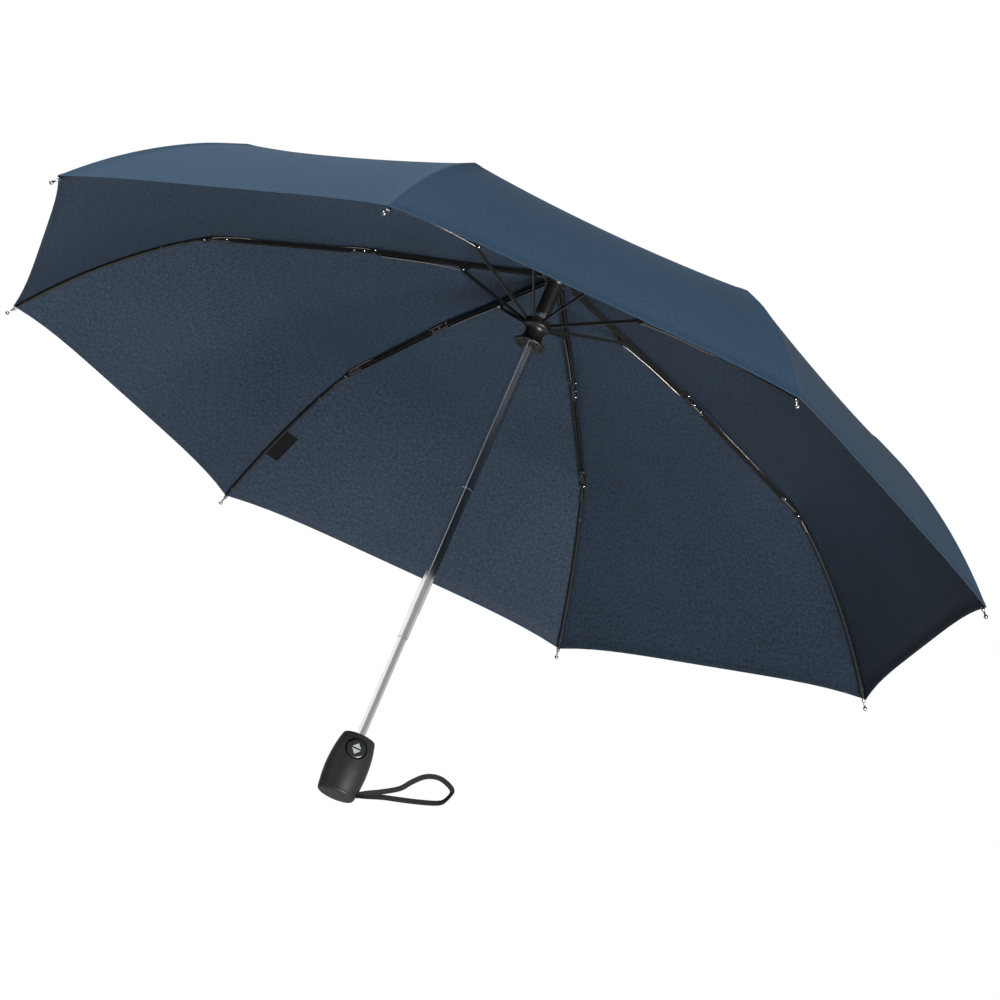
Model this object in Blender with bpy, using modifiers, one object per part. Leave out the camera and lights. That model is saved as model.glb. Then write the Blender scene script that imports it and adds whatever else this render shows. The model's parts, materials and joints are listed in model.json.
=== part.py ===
"""Three-section folding umbrella with an automatic handle, modelled open.

Frame: metres, +Z along the shaft from the handle to the crown, origin at the centre of the
handle's flat bottom face, release button facing -Y. Each rib set lies in its own vertical
plane through the shaft; sizes in that plane are given as (radius from the shaft, height).
"""
import math

import bmesh
import bpy
from mathutils import Matrix, Vector

MM = 0.001
RIB_COUNT = 8
FIRST_RIB_DEG = 22.5

# Heights on the shaft and the rim, in millimetres
HANDLE_TOP = 57.5
INNER_TUBE_BOTTOM = 5.0
MIDDLE_TUBE_BOTTOM = 159.0
MIDDLE_NECK_TOP = 184.5
OUTER_TUBE_BOTTOM = 313.0
OUTER_NECK_TOP = 348.7
TUBE_OVERLAP = 30.0
OUTER_TUBE_TOP = 536.0
RIM_HEIGHT = 345.0
TIP_RADIUS = 490.0

# Tube corner radii (outside, inside); every tube is eight-sided
OUTER_TUBE_R = (6.3, 5.9)
OUTER_NECK_R = (6.02, 5.78)
MIDDLE_TUBE_R = (5.55, 5.2)
MIDDLE_NECK_R = (4.95, 4.6)
INNER_TUBE_R = (4.25, 3.75)

# Pivots of one rib set with the umbrella open: (radius, height)
CROWN_PIVOT = (13.0, 538.5)
RUNNER_PIVOT = (10.4, 489.2)
STRETCHER_JOINT = (88.3, 520.3)
INNER_JOINT = (176.3, 513.7)
OUTER_JOINT = (338.3, 474.0)
TIP = (TIP_RADIUS, RIM_HEIGHT)

# Ribs: half heights, half widths, and how far each centreline lies from its pivots
INNER_HALF = (2.0, 1.8)
MIDDLE_HALF = (1.6, 1.6)
INNER_JOINT_RISE = 2.2
OUTER_JOINT_DROP = 2.0
OUTER_RIB_RISE = 1.6
OUTER_RIB_RADIUS = 1.15
OUTER_RIB_BOW = 10.0
WEB = 0.5
WALL = 0.55
SIDE_GAP = 0.3
STRETCHER_HALF_HEIGHT = 1.5
STRETCHER_THICKNESS = 1.2
STRETCHER_OFFSET = INNER_HALF[1] + SIDE_GAP + STRETCHER_THICKNESS / 2
LINK_WIRE_RADIUS = 0.6

# Handle, button and strap
PARTING_HEIGHT = 3.0
BUTTON_HEIGHT = 42.7
BUTTON_RADIUS = 8.9
BUTTON_GAP = 0.4
BUTTON_FRONT = -17.9
BUTTON_BACK = -12.4
SPRING_RADIUS = 3.2
SPRING_WIRE_RADIUS = 0.35
SPRING_TURNS = 4
SPRING_SIDES = 8
STRAP_EXIT_DEG = -12.9
STRAP_EXIT = (19.6, 7.9)
STRAP_SLOT = (3.4, 3.5)
STRAP_TUBE_RADIUS = 1.0

# Canopy
CANOPY_THICKNESS = 0.6
CANOPY_HOLE = 4.5
SCALLOP = 0.010
OUTER_RIDGE_SHARES = (0.18, 0.38, 0.58, 0.78, 0.963)
OUTER_CLEARANCE = 2.7
GORE_COLUMNS = 4
GORE_DEG = 360.0 / RIB_COUNT


def clear_scene():
    for item in list(bpy.data.objects):
        bpy.data.objects.remove(item, do_unlink=True)


clear_scene()
PARTS = bpy.data.collections.new("folding_umbrella")
CUTTERS = bpy.data.collections.new("cutters")
bpy.context.scene.collection.children.link(PARTS)
bpy.context.scene.collection.children.link(CUTTERS)


def make_material(name, colour, roughness, metallic=0.0):
    material = bpy.data.materials.new(name)
    material.use_nodes = True
    shader = material.node_tree.nodes["Principled BSDF"]
    shader.inputs["Base Color"].default_value = (*colour, 1.0)
    shader.inputs["Roughness"].default_value = roughness
    shader.inputs["Metallic"].default_value = metallic
    return material


BLACK_STEEL = make_material("black_steel", (0.02, 0.02, 0.022), 0.45, 0.6)
BRIGHT_STEEL = make_material("bright_steel", (0.75, 0.76, 0.78), 0.2, 1.0)
BLACK_PLASTIC = make_material("black_plastic", (0.022, 0.022, 0.022), 0.5)
SOFT_BLACK = make_material("soft_black", (0.025, 0.026, 0.025), 0.6)
BUTTON_BLACK = make_material("button_black", (0.02, 0.02, 0.02), 0.25)
WEBBING = make_material("webbing", (0.015, 0.015, 0.015), 0.85)
NAVY_FABRIC = make_material("navy_fabric", (0.045, 0.08, 0.125), 0.75)


def add_object(name, mesh, material, collection=PARTS):
    item = bpy.data.objects.new(name, mesh)
    if material:
        mesh.materials.clear()
        mesh.materials.append(material)
    collection.objects.link(item)
    return item


def shade(mesh, angle=math.radians(35)):
    mesh.shade_smooth()
    mesh.set_sharp_from_angle(angle=angle)


def apply_modifiers(item):
    """Replace an object's mesh by its evaluated one, so that copies can share it."""
    bpy.context.view_layer.update()
    graph = bpy.context.evaluated_depsgraph_get()
    mesh = bpy.data.meshes.new_from_object(item.evaluated_get(graph))
    item.modifiers.clear()
    item.data = mesh
    return item


def turned(name, profile, steps, material, collection=PARTS):
    """A solid of revolution about Z from a closed loop, or a run that ends on the axis."""
    mesh = bpy.data.meshes.new(name)
    on_axis = profile[0][0] == 0.0
    count = len(profile)
    edges = [(i, i + 1) for i in range(count - 1)]
    if not on_axis:
        edges.append((count - 1, 0))
    mesh.from_pydata([(r * MM, 0.0, z * MM) for r, z in profile], edges, [])
    item = add_object(name, mesh, material, collection)
    screw = item.modifiers.new("turn", 'SCREW')
    screw.axis = 'Z'
    screw.steps = steps
    screw.render_steps = steps
    screw.use_merge_vertices = True
    screw.merge_threshold = 0.00001
    screw.use_smooth_shade = True
    return apply_modifiers(item)


def outline_solid(name, loops, half_thickness, material=None, offset=0.0, collection=PARTS):
    """A flat outline in local XY, with any holes, extruded both ways along local Z."""
    curve = bpy.data.curves.new(name, 'CURVE')
    curve.dimensions = '2D'
    curve.fill_mode = 'BOTH'
    curve.extrude = half_thickness * MM
    for loop in loops:
        spline = curve.splines.new('POLY')
        spline.points.add(len(loop) - 1)
        for point, (x, y) in zip(spline.points, loop):
            point.co = (x * MM, y * MM, 0.0, 1.0)
        spline.use_cyclic_u = True
    shape = bpy.data.objects.new(name + "_outline", curve)
    collection.objects.link(shape)
    bpy.context.view_layer.update()
    graph = bpy.context.evaluated_depsgraph_get()
    mesh = bpy.data.meshes.new_from_object(shape.evaluated_get(graph))
    bpy.data.objects.remove(shape, do_unlink=True)
    weld(mesh)
    mesh.transform(Matrix.Translation((0.0, 0.0, offset * MM)))
    return add_object(name, mesh, material, collection)


def weld(mesh):
    work = bmesh.new()
    work.from_mesh(mesh)
    bmesh.ops.remove_doubles(work, verts=work.verts, dist=1e-6)
    bmesh.ops.recalc_face_normals(work, faces=work.faces)
    work.to_mesh(mesh)
    work.free()


def wire_solid(name, points, radius, material, resolution=2, collection=PARTS):
    """A round wire along a list of points, with filled ends."""
    curve = bpy.data.curves.new(name, 'CURVE')
    curve.dimensions = '3D'
    curve.bevel_depth = radius * MM
    curve.bevel_resolution = resolution
    curve.use_fill_caps = True
    spline = curve.splines.new('POLY')
    spline.points.add(len(points) - 1)
    for point, place in zip(spline.points, points):
        point.co = (place[0] * MM, place[1] * MM, place[2] * MM, 1.0)
    shape = bpy.data.objects.new(name + "_path", curve)
    collection.objects.link(shape)
    bpy.context.view_layer.update()
    graph = bpy.context.evaluated_depsgraph_get()
    mesh = bpy.data.meshes.new_from_object(shape.evaluated_get(graph))
    bpy.data.objects.remove(shape, do_unlink=True)
    weld(mesh)
    return add_object(name, mesh, material, collection)


def box(name, low, high):
    bpy.ops.mesh.primitive_cube_add(size=1.0)
    item = bpy.context.object
    item.name = name
    for collection in list(item.users_collection):
        collection.objects.unlink(item)
    CUTTERS.objects.link(item)
    size = [(b - a) * MM for a, b in zip(low, high)]
    middle = [(a + b) / 2 * MM for a, b in zip(low, high)]
    item.data.transform(Matrix.Translation(middle) @ Matrix.Diagonal((*size, 1.0)))
    return item


def cylinder(name, radius, length, matrix, sides=6):
    """A cylinder centred on the local origin along local Z, moved by a matrix."""
    bpy.ops.mesh.primitive_cylinder_add(vertices=sides, radius=radius * MM, depth=length * MM)
    item = bpy.context.object
    item.name = name
    for collection in list(item.users_collection):
        collection.objects.unlink(item)
    CUTTERS.objects.link(item)
    item.data.transform(matrix)
    return item


def combine(item, others, operation):
    """Boolean the others into an object one by one, apply, and drop them."""
    for other in others:
        step = item.modifiers.new("step", 'BOOLEAN')
        step.operation = operation
        step.solver = 'EXACT'
        step.object = other
        apply_modifiers(item)
        bpy.data.objects.remove(other, do_unlink=True)
    weld(item.data)
    return item


def arc(centre, radius, start_deg, end_deg, count):
    points = []
    for i in range(count + 1):
        angle = math.radians(start_deg + (end_deg - start_deg) * i / count)
        points.append((centre[0] + radius * math.cos(angle), centre[1] + radius * math.sin(angle)))
    return points


def circle(centre, radius, count):
    return arc(centre, radius, 0.0, 360.0 * (count - 1) / count, count - 1)


def direction_deg(start, end):
    return math.degrees(math.atan2(end[1] - start[1], end[0] - start[0]))


def distance(start, end):
    return math.hypot(end[0] - start[0], end[1] - start[1])


# Each rib's length and slope, from the pivots and the offsets of its centreline
INNER_SPAN = distance(CROWN_PIVOT, INNER_JOINT)
INNER_LENGTH = math.sqrt(INNER_SPAN ** 2 - INNER_JOINT_RISE ** 2)
INNER_LEAN = math.degrees(math.asin(INNER_JOINT_RISE / INNER_SPAN))
INNER_SLOPE = direction_deg(CROWN_PIVOT, INNER_JOINT) - INNER_LEAN
MIDDLE_SPAN = distance(INNER_JOINT, OUTER_JOINT)
MIDDLE_DROP = INNER_JOINT_RISE + OUTER_JOINT_DROP
MIDDLE_LENGTH = math.sqrt(MIDDLE_SPAN ** 2 - MIDDLE_DROP ** 2)
MIDDLE_LEAN = math.degrees(math.asin(MIDDLE_DROP / MIDDLE_SPAN))
MIDDLE_SLOPE = direction_deg(INNER_JOINT, OUTER_JOINT) + MIDDLE_LEAN
OUTER_SPAN = distance(OUTER_JOINT, TIP)
OUTER_LENGTH = math.sqrt(OUTER_SPAN ** 2 - OUTER_RIB_RISE ** 2)
OUTER_LEAN = math.degrees(math.asin(OUTER_RIB_RISE / OUTER_SPAN))
OUTER_SLOPE = direction_deg(OUTER_JOINT, TIP) - OUTER_LEAN
STRETCHER_LENGTH = distance(RUNNER_PIVOT, STRETCHER_JOINT)
STRETCHER_SLOPE = direction_deg(RUNNER_PIVOT, STRETCHER_JOINT)


def local_point(pivot, slope_deg, target):
    """Where a point of the rib plane lies in a rib's own frame."""
    slope = math.radians(slope_deg)
    dr = target[0] - pivot[0]
    dz = target[1] - pivot[1]
    along = dr * math.cos(slope) + dz * math.sin(slope)
    normal = -dr * math.sin(slope) + dz * math.cos(slope)
    return along, normal


def rib_matrix(index, pivot, slope_deg):
    """Local X along the rib, local Y away from its underside, origin on the pivot."""
    azimuth = math.radians(FIRST_RIB_DEG + index * GORE_DEG)
    turn = Matrix.Rotation(azimuth, 4, 'Z')
    place = Matrix.Translation((pivot[0] * MM, 0.0, pivot[1] * MM))
    tilt = Matrix.Rotation(-math.radians(slope_deg), 4, 'Y')
    stand = Matrix.Rotation(math.radians(90.0), 4, 'X')
    return turn @ place @ tilt @ stand


def spread(prototype, name, pivot, slope_deg):
    """Place one copy of a rib piece on each rib, sharing the prototype's mesh."""
    mesh = prototype.data
    material = mesh.materials[0]
    bpy.data.objects.remove(prototype, do_unlink=True)
    shade(mesh)
    for index in range(RIB_COUNT):
        item = add_object(f"{name}_{index + 1}", mesh, material)
        item.matrix_world = rib_matrix(index, pivot, slope_deg)


def inner_rib():
    half, side = INNER_HALF
    eye = 2.1
    end = (INNER_LENGTH, INNER_JOINT_RISE)
    lug = local_point(CROWN_PIVOT, INNER_SLOPE, STRETCHER_JOINT)
    knuckle = 1.9
    outline = arc((0.0, 0.0), eye, 250.0, 70.0, 5)
    outline += [(4.5, half), (end[0] - 6.0, half)]
    outline += arc(end, knuckle, 120.0, -45.0, 4)
    outline += [(end[0] - 1.5, -half + 0.2), (lug[0] + 6.0, -half + 0.08)]
    outline += arc(lug, 1.7, -10.0, -170.0, 3)
    outline += [(lug[0] - 6.0, -half), (4.5, -half + 0.1)]
    rib = outline_solid("inner_rib", [outline], side, BLACK_STEEL)
    groove = side - WALL
    far = 10.0
    cuts = [
        box("groove", (6.5, -far, -groove), (end[0] - 2.0, half - WEB, groove)),
        box("fork", (end[0] - 5.4, -far, -groove), (end[0] + far, far, groove)),
        box("left", (-far, -far, 1.0), (4.0, far, far)),
        box("right", (-far, -far, -far), (4.0, far, -1.0)),
        cylinder("eye", 0.95, far, Matrix.Identity(4)),
    ]
    combine(rib, cuts, 'DIFFERENCE')
    pin_place = Matrix.Translation((end[0] * MM, end[1] * MM, 0.0))
    combine(rib, [cylinder("pin", 0.8, 2 * (groove + WALL / 2), pin_place)], 'UNION')
    spread(rib, "inner_rib", CROWN_PIVOT, INNER_SLOPE)


def middle_rib():
    half, side = MIDDLE_HALF
    knuckle = 1.9
    line = -INNER_JOINT_RISE
    end = (MIDDLE_LENGTH, -MIDDLE_DROP)
    outline = arc((0.0, 0.0), knuckle, 240.0, 60.0, 5)
    outline += [(5.0, line + half), (end[0] - 2.5, line + half), (end[0] + 1.5, line + 0.3)]
    outline += arc(end, 1.7, 10.0, -120.0, 3)
    outline += [(end[0] - 6.0, line - half), (5.0, line - half)]
    rib = outline_solid("middle_rib", [outline], side, BLACK_STEEL)
    groove = side - WALL + 0.1
    far = 10.0
    cuts = [
        box("groove", (7.0, -far, -groove), (end[0] - 2.0, line + half - WEB, groove)),
        box("fork", (end[0] - 4.3, -far, -groove), (end[0] + far, far, groove)),
        box("left", (-far, -far, 0.95), (4.7, far, far)),
        box("right", (-far, -far, -far), (4.7, far, -0.95)),
        cylinder("eye", 1.0, far, Matrix.Identity(4)),
    ]
    combine(rib, cuts, 'DIFFERENCE')
    pin_place = Matrix.Translation((end[0] * MM, end[1] * MM, 0.0))
    combine(rib, [cylinder("pin", 0.75, 2 * (groove + WALL / 2), pin_place)], 'UNION')
    spread(rib, "middle_rib", INNER_JOINT, MIDDLE_SLOPE)


def outer_rib_point(share):
    """A point of the bowed outer rib's centreline, in its own frame."""
    bow = OUTER_RIB_BOW * 4.0 * share * (1.0 - share)
    return OUTER_LENGTH * share, OUTER_RIB_RISE + bow


OUTER_WIRE_START = 0.03
OUTER_WIRE_END = 0.95
OUTER_WIRE_POINTS = 7


def outer_rib():
    tongue = arc((0.0, 0.0), 1.7, 270.0, 90.0, 5)
    tongue += [(4.0, 2.9), (11.0, 4.4), (11.0, 2.6), (4.0, 0.6)]
    rib = outline_solid("outer_rib", [tongue], 0.85, BLACK_STEEL)
    points = []
    for i in range(OUTER_WIRE_POINTS):
        share = OUTER_WIRE_START + (OUTER_WIRE_END - OUTER_WIRE_START) * i / (OUTER_WIRE_POINTS - 1)
        x, y = outer_rib_point(share)
        points.append((x, y, 0.0))
    wire = wire_solid("outer_wire", points, OUTER_RIB_RADIUS, BLACK_STEEL, collection=CUTTERS)
    combine(rib, [wire], 'UNION')
    combine(rib, [cylinder("eye", 0.98, 10.0, Matrix.Identity(4))], 'DIFFERENCE')
    spread(rib, "outer_rib", OUTER_JOINT, OUTER_SLOPE)


def rib_tip():
    """Ball-ended tip that holds the fabric's corner, on the end of the outer rib."""
    ball = 2.0
    start = outer_rib_point(OUTER_WIRE_END)
    end = outer_rib_point(1.0)
    length = distance(start, end) - SIDE_GAP
    neck = 0.85
    sleeve = 1.7
    profile = [(0.0, ball)]
    for angle in (50.0, 10.0, -25.0, -62.0):
        slope = math.radians(angle)
        profile.append((ball * math.cos(slope), ball * math.sin(slope)))
    profile += [(neck, -6.0), (sleeve, -6.6), (sleeve, -length), (0.0, -length)]
    tip = turned("rib_tip", profile, 10, BRIGHT_STEEL)
    lean = math.atan2(end[1] - start[1], end[0] - start[0])
    along = Matrix.Rotation(math.radians(90.0), 4, 'Y')
    tilt = Matrix.Rotation(lean, 4, 'Z')
    place = Matrix.Translation((end[0] * MM, end[1] * MM, 0.0))
    tip.data.transform(place @ tilt @ along)
    spread(tip, "rib_tip", OUTER_JOINT, OUTER_SLOPE)


def stretcher():
    half = STRETCHER_HALF_HEIGHT
    length = STRETCHER_LENGTH
    outline = arc((0.0, 0.0), 1.8, 240.0, 120.0, 4)
    outline += [(2.5, half)]
    outline += arc((length, 0.0), 1.7, 110.0, -110.0, 5)
    outline += [(2.5, -half)]
    holes = [circle((0.0, 0.0), 1.0, 8), circle((length, 0.0), 0.7, 6)]
    bar = outline_solid("stretcher", [outline] + holes, STRETCHER_THICKNESS / 2, BLACK_STEEL,
                        offset=STRETCHER_OFFSET)
    spread(bar, "stretcher", RUNNER_PIVOT, STRETCHER_SLOPE)


def link_wire():
    """Bright control wire under the inner rib, from the stretcher's joint to the knuckle."""
    start = local_point(CROWN_PIVOT, INNER_SLOPE, STRETCHER_JOINT)
    below = -(INNER_HALF[0] + SIDE_GAP + LINK_WIRE_RADIUS)
    points = [
        (start[0] + 3.2, start[1] - 0.5, 0.0),
        (start[0] + 9.0, start[1] + 0.4, 0.0),
        (start[0] + 20.0, start[1] + 1.3, 0.0),
        (start[0] + 42.0, below - 0.3, 0.0),
        (INNER_LENGTH - 14.0, below - 0.3, 0.0),
        (INNER_LENGTH - 8.0, below, 0.0),
    ]
    wire = wire_solid("link_wire", points, LINK_WIRE_RADIUS, BRIGHT_STEEL, resolution=1)
    spread(wire, "link_wire", CROWN_PIVOT, INNER_SLOPE)


def ring_wire(radius, height, thickness):
    bpy.ops.mesh.primitive_torus_add(major_radius=radius * MM, minor_radius=thickness * MM,
                                     major_segments=RIB_COUNT * 3, minor_segments=6)
    item = bpy.context.object
    for collection in list(item.users_collection):
        collection.objects.unlink(item)
    CUTTERS.objects.link(item)
    item.data.transform(Matrix.Translation((0.0, 0.0, height * MM)))
    return item


def rib_slots(inner, outer, low, high, half_width, offset):
    """Radial slots, one for each rib, cut into a hub."""
    cuts = []
    for index in range(RIB_COUNT):
        slot = box("slot", (inner, offset - half_width, low), (outer, offset + half_width, high))
        azimuth = math.radians(FIRST_RIB_DEG + index * GORE_DEG)
        slot.data.transform(Matrix.Rotation(azimuth, 4, 'Z'))
        cuts.append(slot)
    return cuts


def crown():
    """Crown hub with its sleeve over the tube, and the cap that clamps the canopy."""
    pivot_r, pivot_z = CROWN_PIVOT
    sleeve = (7.3, OUTER_TUBE_R[0] + SIDE_GAP)
    top = pivot_z + 2.9
    floor = pivot_z - 2.1
    hub = [
        (pivot_r + 2.5, top - 0.6), (pivot_r + 2.5, floor), (9.6, floor), (sleeve[0], floor - 4.0),
        (sleeve[0], 499.0), (sleeve[1], 499.0), (sleeve[1], OUTER_TUBE_TOP + SIDE_GAP),
        (2.5, OUTER_TUBE_TOP + SIDE_GAP), (2.5, top), (pivot_r + 1.9, top),
    ]
    notch = turned("crown_notch", hub, 24, BLACK_PLASTIC)
    combine(notch, rib_slots(10.5, 20.0, floor - 10.0, top + 5.0, 1.3, 0.0), 'DIFFERENCE')
    combine(notch, [ring_wire(pivot_r, pivot_z, 0.6)], 'UNION')
    shade(notch.data)
    cap_floor = top + SIDE_GAP + CANOPY_THICKNESS + 1.9
    profile = [
        (0.0, cap_floor + 4.6), (4.0, cap_floor + 4.4), (8.5, cap_floor + 3.6), (11.0, cap_floor + 2.0),
        (11.6, cap_floor + 0.6), (11.4, cap_floor), (3.4, cap_floor), (3.4, top + SIDE_GAP),
        (2.0, top + SIDE_GAP), (2.0, OUTER_TUBE_TOP + 2.5), (0.0, OUTER_TUBE_TOP + 2.5),
    ]
    cap = turned("top_cap", profile, 24, BLACK_PLASTIC)
    shade(cap.data)


def runner():
    """Sliding runner: a spool with a belled lower flange and a slotted top."""
    pivot_r, pivot_z = RUNNER_PIVOT
    bore = OUTER_TUBE_R[0] + SIDE_GAP
    shape = [
        (12.6, 3.0), (12.6, -3.0), (12.9, -3.4), (12.5, -4.2), (9.6, -6.2), (8.9, -9.5), (9.3, -14.0),
        (11.2, -18.0), (15.0, -20.6), (15.5, -21.6), (15.2, -22.6), (13.9, -22.9), (12.6, -21.6),
        (10.6, -19.6), (bore, -18.6), (bore, 4.6), (8.2, 4.6), (8.2, 3.0),
    ]
    spool = turned("runner", [(r, z + pivot_z) for r, z in shape], 24, BLACK_PLASTIC)
    slots = rib_slots(8.35, 20.0, pivot_z - 2.4, pivot_z + 10.0,
                      STRETCHER_THICKNESS / 2 + SIDE_GAP, -STRETCHER_OFFSET)
    combine(spool, slots, 'DIFFERENCE')
    ring = math.hypot(pivot_r, STRETCHER_OFFSET)
    combine(spool, [ring_wire(ring, pivot_z, 0.55)], 'UNION')
    shade(spool.data)


def tube(name, profile, material=BRIGHT_STEEL):
    """An eight-sided tube with its flats facing along X and Y."""
    item = turned(name, profile, 8, material)
    item.rotation_euler = (0.0, 0.0, math.radians(22.5))
    item.data.shade_flat()


def shaft():
    out, inside = OUTER_TUBE_R
    neck_out, neck_in = OUTER_NECK_R
    tube("shaft_outer_tube", [
        (out, OUTER_TUBE_TOP), (out, OUTER_NECK_TOP + 0.8), (neck_out, OUTER_NECK_TOP),
        (neck_out, OUTER_TUBE_BOTTOM), (neck_in, OUTER_TUBE_BOTTOM), (neck_in, OUTER_NECK_TOP),
        (inside, OUTER_NECK_TOP + 0.8), (inside, OUTER_TUBE_TOP),
    ])
    out, inside = MIDDLE_TUBE_R
    neck_out, neck_in = MIDDLE_NECK_R
    top = OUTER_TUBE_BOTTOM + TUBE_OVERLAP
    tube("shaft_middle_tube", [
        (out, top), (out, MIDDLE_NECK_TOP + 1.2), (neck_out, MIDDLE_NECK_TOP),
        (neck_out, MIDDLE_TUBE_BOTTOM), (neck_in, MIDDLE_TUBE_BOTTOM), (neck_in, MIDDLE_NECK_TOP),
        (inside, MIDDLE_NECK_TOP + 1.2), (inside, top),
    ])
    out, inside = INNER_TUBE_R
    top = MIDDLE_TUBE_BOTTOM + TUBE_OVERLAP
    tube("shaft_inner_tube", [
        (out, top), (out, INNER_TUBE_BOTTOM), (inside, INNER_TUBE_BOTTOM), (inside, top),
    ])


# Handle barrel: (radius, height) down the outside, then up the hollow
BARREL = [
    (13.6, 57.5), (14.9, 57.1), (15.4, 56.2), (16.8, 50.5), (17.9, 45.0), (18.65, 39.4), (19.15, 33.9),
    (19.5, 25.5), (19.35, 19.9), (18.9, 13.0), (18.25, 7.5), (17.75, 3.3),
    (16.0, 3.3), (16.0, 40.0), (14.6, 50.0), (12.6, 54.0), (4.7, 54.0), (4.7, 57.5),
]


def handle():
    shell = turned("handle_shell", BARREL, 32, SOFT_BLACK)
    place = Matrix.Translation((0.0, -20.0 * MM, BUTTON_HEIGHT * MM))
    across = Matrix.Rotation(math.radians(90.0), 4, 'X')
    hole = cylinder("button_hole", BUTTON_RADIUS + BUTTON_GAP, 20.0, place @ across, 32)
    half_width, half_height = STRAP_SLOT
    low, high = STRAP_EXIT[1] - half_height, STRAP_EXIT[1] + half_height
    slot = box("strap_slot", (10.0, -half_width, low), (30.0, half_width, high))
    slot.data.transform(Matrix.Rotation(math.radians(STRAP_EXIT_DEG), 4, 'Z'))
    combine(shell, [hole, slot], 'DIFFERENCE')
    shade(shell.data)
    cap = turned("handle_end_cap", [
        (0.0, 4.6), (15.5, 4.6), (15.5, PARTING_HEIGHT), (17.6, PARTING_HEIGHT), (17.3, 1.6),
        (16.5, 0.5), (15.2, 0.0), (0.0, 0.0),
    ], 32, SOFT_BLACK)
    shade(cap.data)


def button():
    front = -BUTTON_FRONT
    back = -BUTTON_BACK
    profile = [
        (0.0, front), (4.0, front - 0.1), (7.4, front - 0.5), (8.4, front - 1.0),
        (BUTTON_RADIUS, front - 2.0), (BUTTON_RADIUS, back), (0.0, back),
    ]
    item = turned("release_button", profile, 28, BUTTON_BLACK)
    face = Matrix.Rotation(math.radians(90.0), 4, 'X')
    item.data.transform(face)
    item.location = (0.0, 0.0, BUTTON_HEIGHT * MM)
    shade(item.data)
    start = back - SIDE_GAP - SPRING_WIRE_RADIUS
    end = INNER_TUBE_R[0] + SIDE_GAP + SPRING_WIRE_RADIUS
    total = SPRING_TURNS * SPRING_SIDES
    points = []
    for i in range(total + 1):
        angle = 2.0 * math.pi * i / SPRING_SIDES
        depth = start + (end - start) * i / total
        points.append((SPRING_RADIUS * math.cos(angle), -depth,
                       SPRING_RADIUS * math.sin(angle) + BUTTON_HEIGHT))
    spring = wire_solid("button_spring", points, SPRING_WIRE_RADIUS, BRIGHT_STEEL, resolution=1)
    shade(spring.data)


# The strap's route in the plane it lies in: (out from the exit, up from it) and (sideways)
STRAP_OUT = Vector((0.9045, -0.2069, 0.3729))
STRAP_UP = Vector((-0.4184, -0.2612, 0.8699))
STRAP_SIDE = STRAP_OUT.cross(STRAP_UP)
STRAP_ROUTE = [
    (-2.4, 1.5, 0.2), (2.0, 1.5, 0.3), (9.0, 2.0, 0.5), (22.0, 3.2, 0.6), (37.0, 6.0, 0.5),
    (47.0, 11.5, 0.3), (57.0, 15.8, 0.0), (65.0, 16.6, -0.2), (73.0, 14.6, -0.4), (80.0, 9.2, -0.5),
    (83.4, 4.2, -0.5), (82.0, 0.2, -0.5), (77.0, -4.9, -0.4), (72.0, -7.0, -0.2), (62.0, -6.9, 0.0),
    (47.0, -5.4, 0.0), (32.0, -3.4, 0.0), (22.0, -2.0, -0.2), (9.0, -1.3, -0.3), (2.0, -1.2, -0.3),
    (-2.4, -1.2, -0.2),
]
STRAP_POINTS_PER_SPAN = 2


def smooth_route(route, per_span):
    """Points of a Catmull-Rom curve through a route."""
    knots = [Vector(point) for point in route]
    knots = [2 * knots[0] - knots[1]] + knots + [2 * knots[-1] - knots[-2]]
    points = []
    for i in range(1, len(knots) - 2):
        a, b, c, d = knots[i - 1:i + 3]
        for step in range(per_span):
            t = step / per_span
            points.append(0.5 * ((2 * b) + (c - a) * t + (2 * a - 5 * b + 4 * c - d) * t ** 2
                                 + (3 * b - a - 3 * c + d) * t ** 3))
    points.append(knots[-2])
    return points


def strap():
    angle = math.radians(STRAP_EXIT_DEG)
    exit_point = Vector((STRAP_EXIT[0] * math.cos(angle), STRAP_EXIT[0] * math.sin(angle), STRAP_EXIT[1]))
    places = []
    for out, up, side in smooth_route(STRAP_ROUTE, STRAP_POINTS_PER_SPAN):
        places.append(exit_point + STRAP_OUT * out + STRAP_UP * up + STRAP_SIDE * side)
    item = wire_solid("wrist_strap", places, STRAP_TUBE_RADIUS, WEBBING)
    shade(item.data)


def rib_plane_point(pivot, slope_deg, along, normal):
    """A point of a rib's own frame as (radius, height)."""
    slope = math.radians(slope_deg)
    r = pivot[0] + along * math.cos(slope) - normal * math.sin(slope)
    z = pivot[1] + along * math.sin(slope) + normal * math.cos(slope)
    return r, z


def ridge_profile():
    """The canopy's underside along a rib, from the crown to the corner, as (radius, height)."""
    crown_height = CROWN_PIVOT[1] + 2.9 + SIDE_GAP + 1.8
    points = [(CANOPY_HOLE, crown_height), (14.0, crown_height)]
    for along in (45.0, 105.0):
        points.append(rib_plane_point(CROWN_PIVOT, INNER_SLOPE, along, INNER_HALF[0] + 1.0))
    points.append(rib_plane_point(INNER_JOINT, MIDDLE_SLOPE, 0.0, 2.6))
    points.append(rib_plane_point(INNER_JOINT, MIDDLE_SLOPE, MIDDLE_LENGTH * 0.5, 2.0))
    points.append(rib_plane_point(INNER_JOINT, MIDDLE_SLOPE, MIDDLE_LENGTH - 4.0, 0.5))
    for share in OUTER_RIDGE_SHARES:
        along, normal = outer_rib_point(share)
        points.append(rib_plane_point(OUTER_JOINT, OUTER_SLOPE, along, normal + OUTER_CLEARANCE))
    return points


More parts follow.
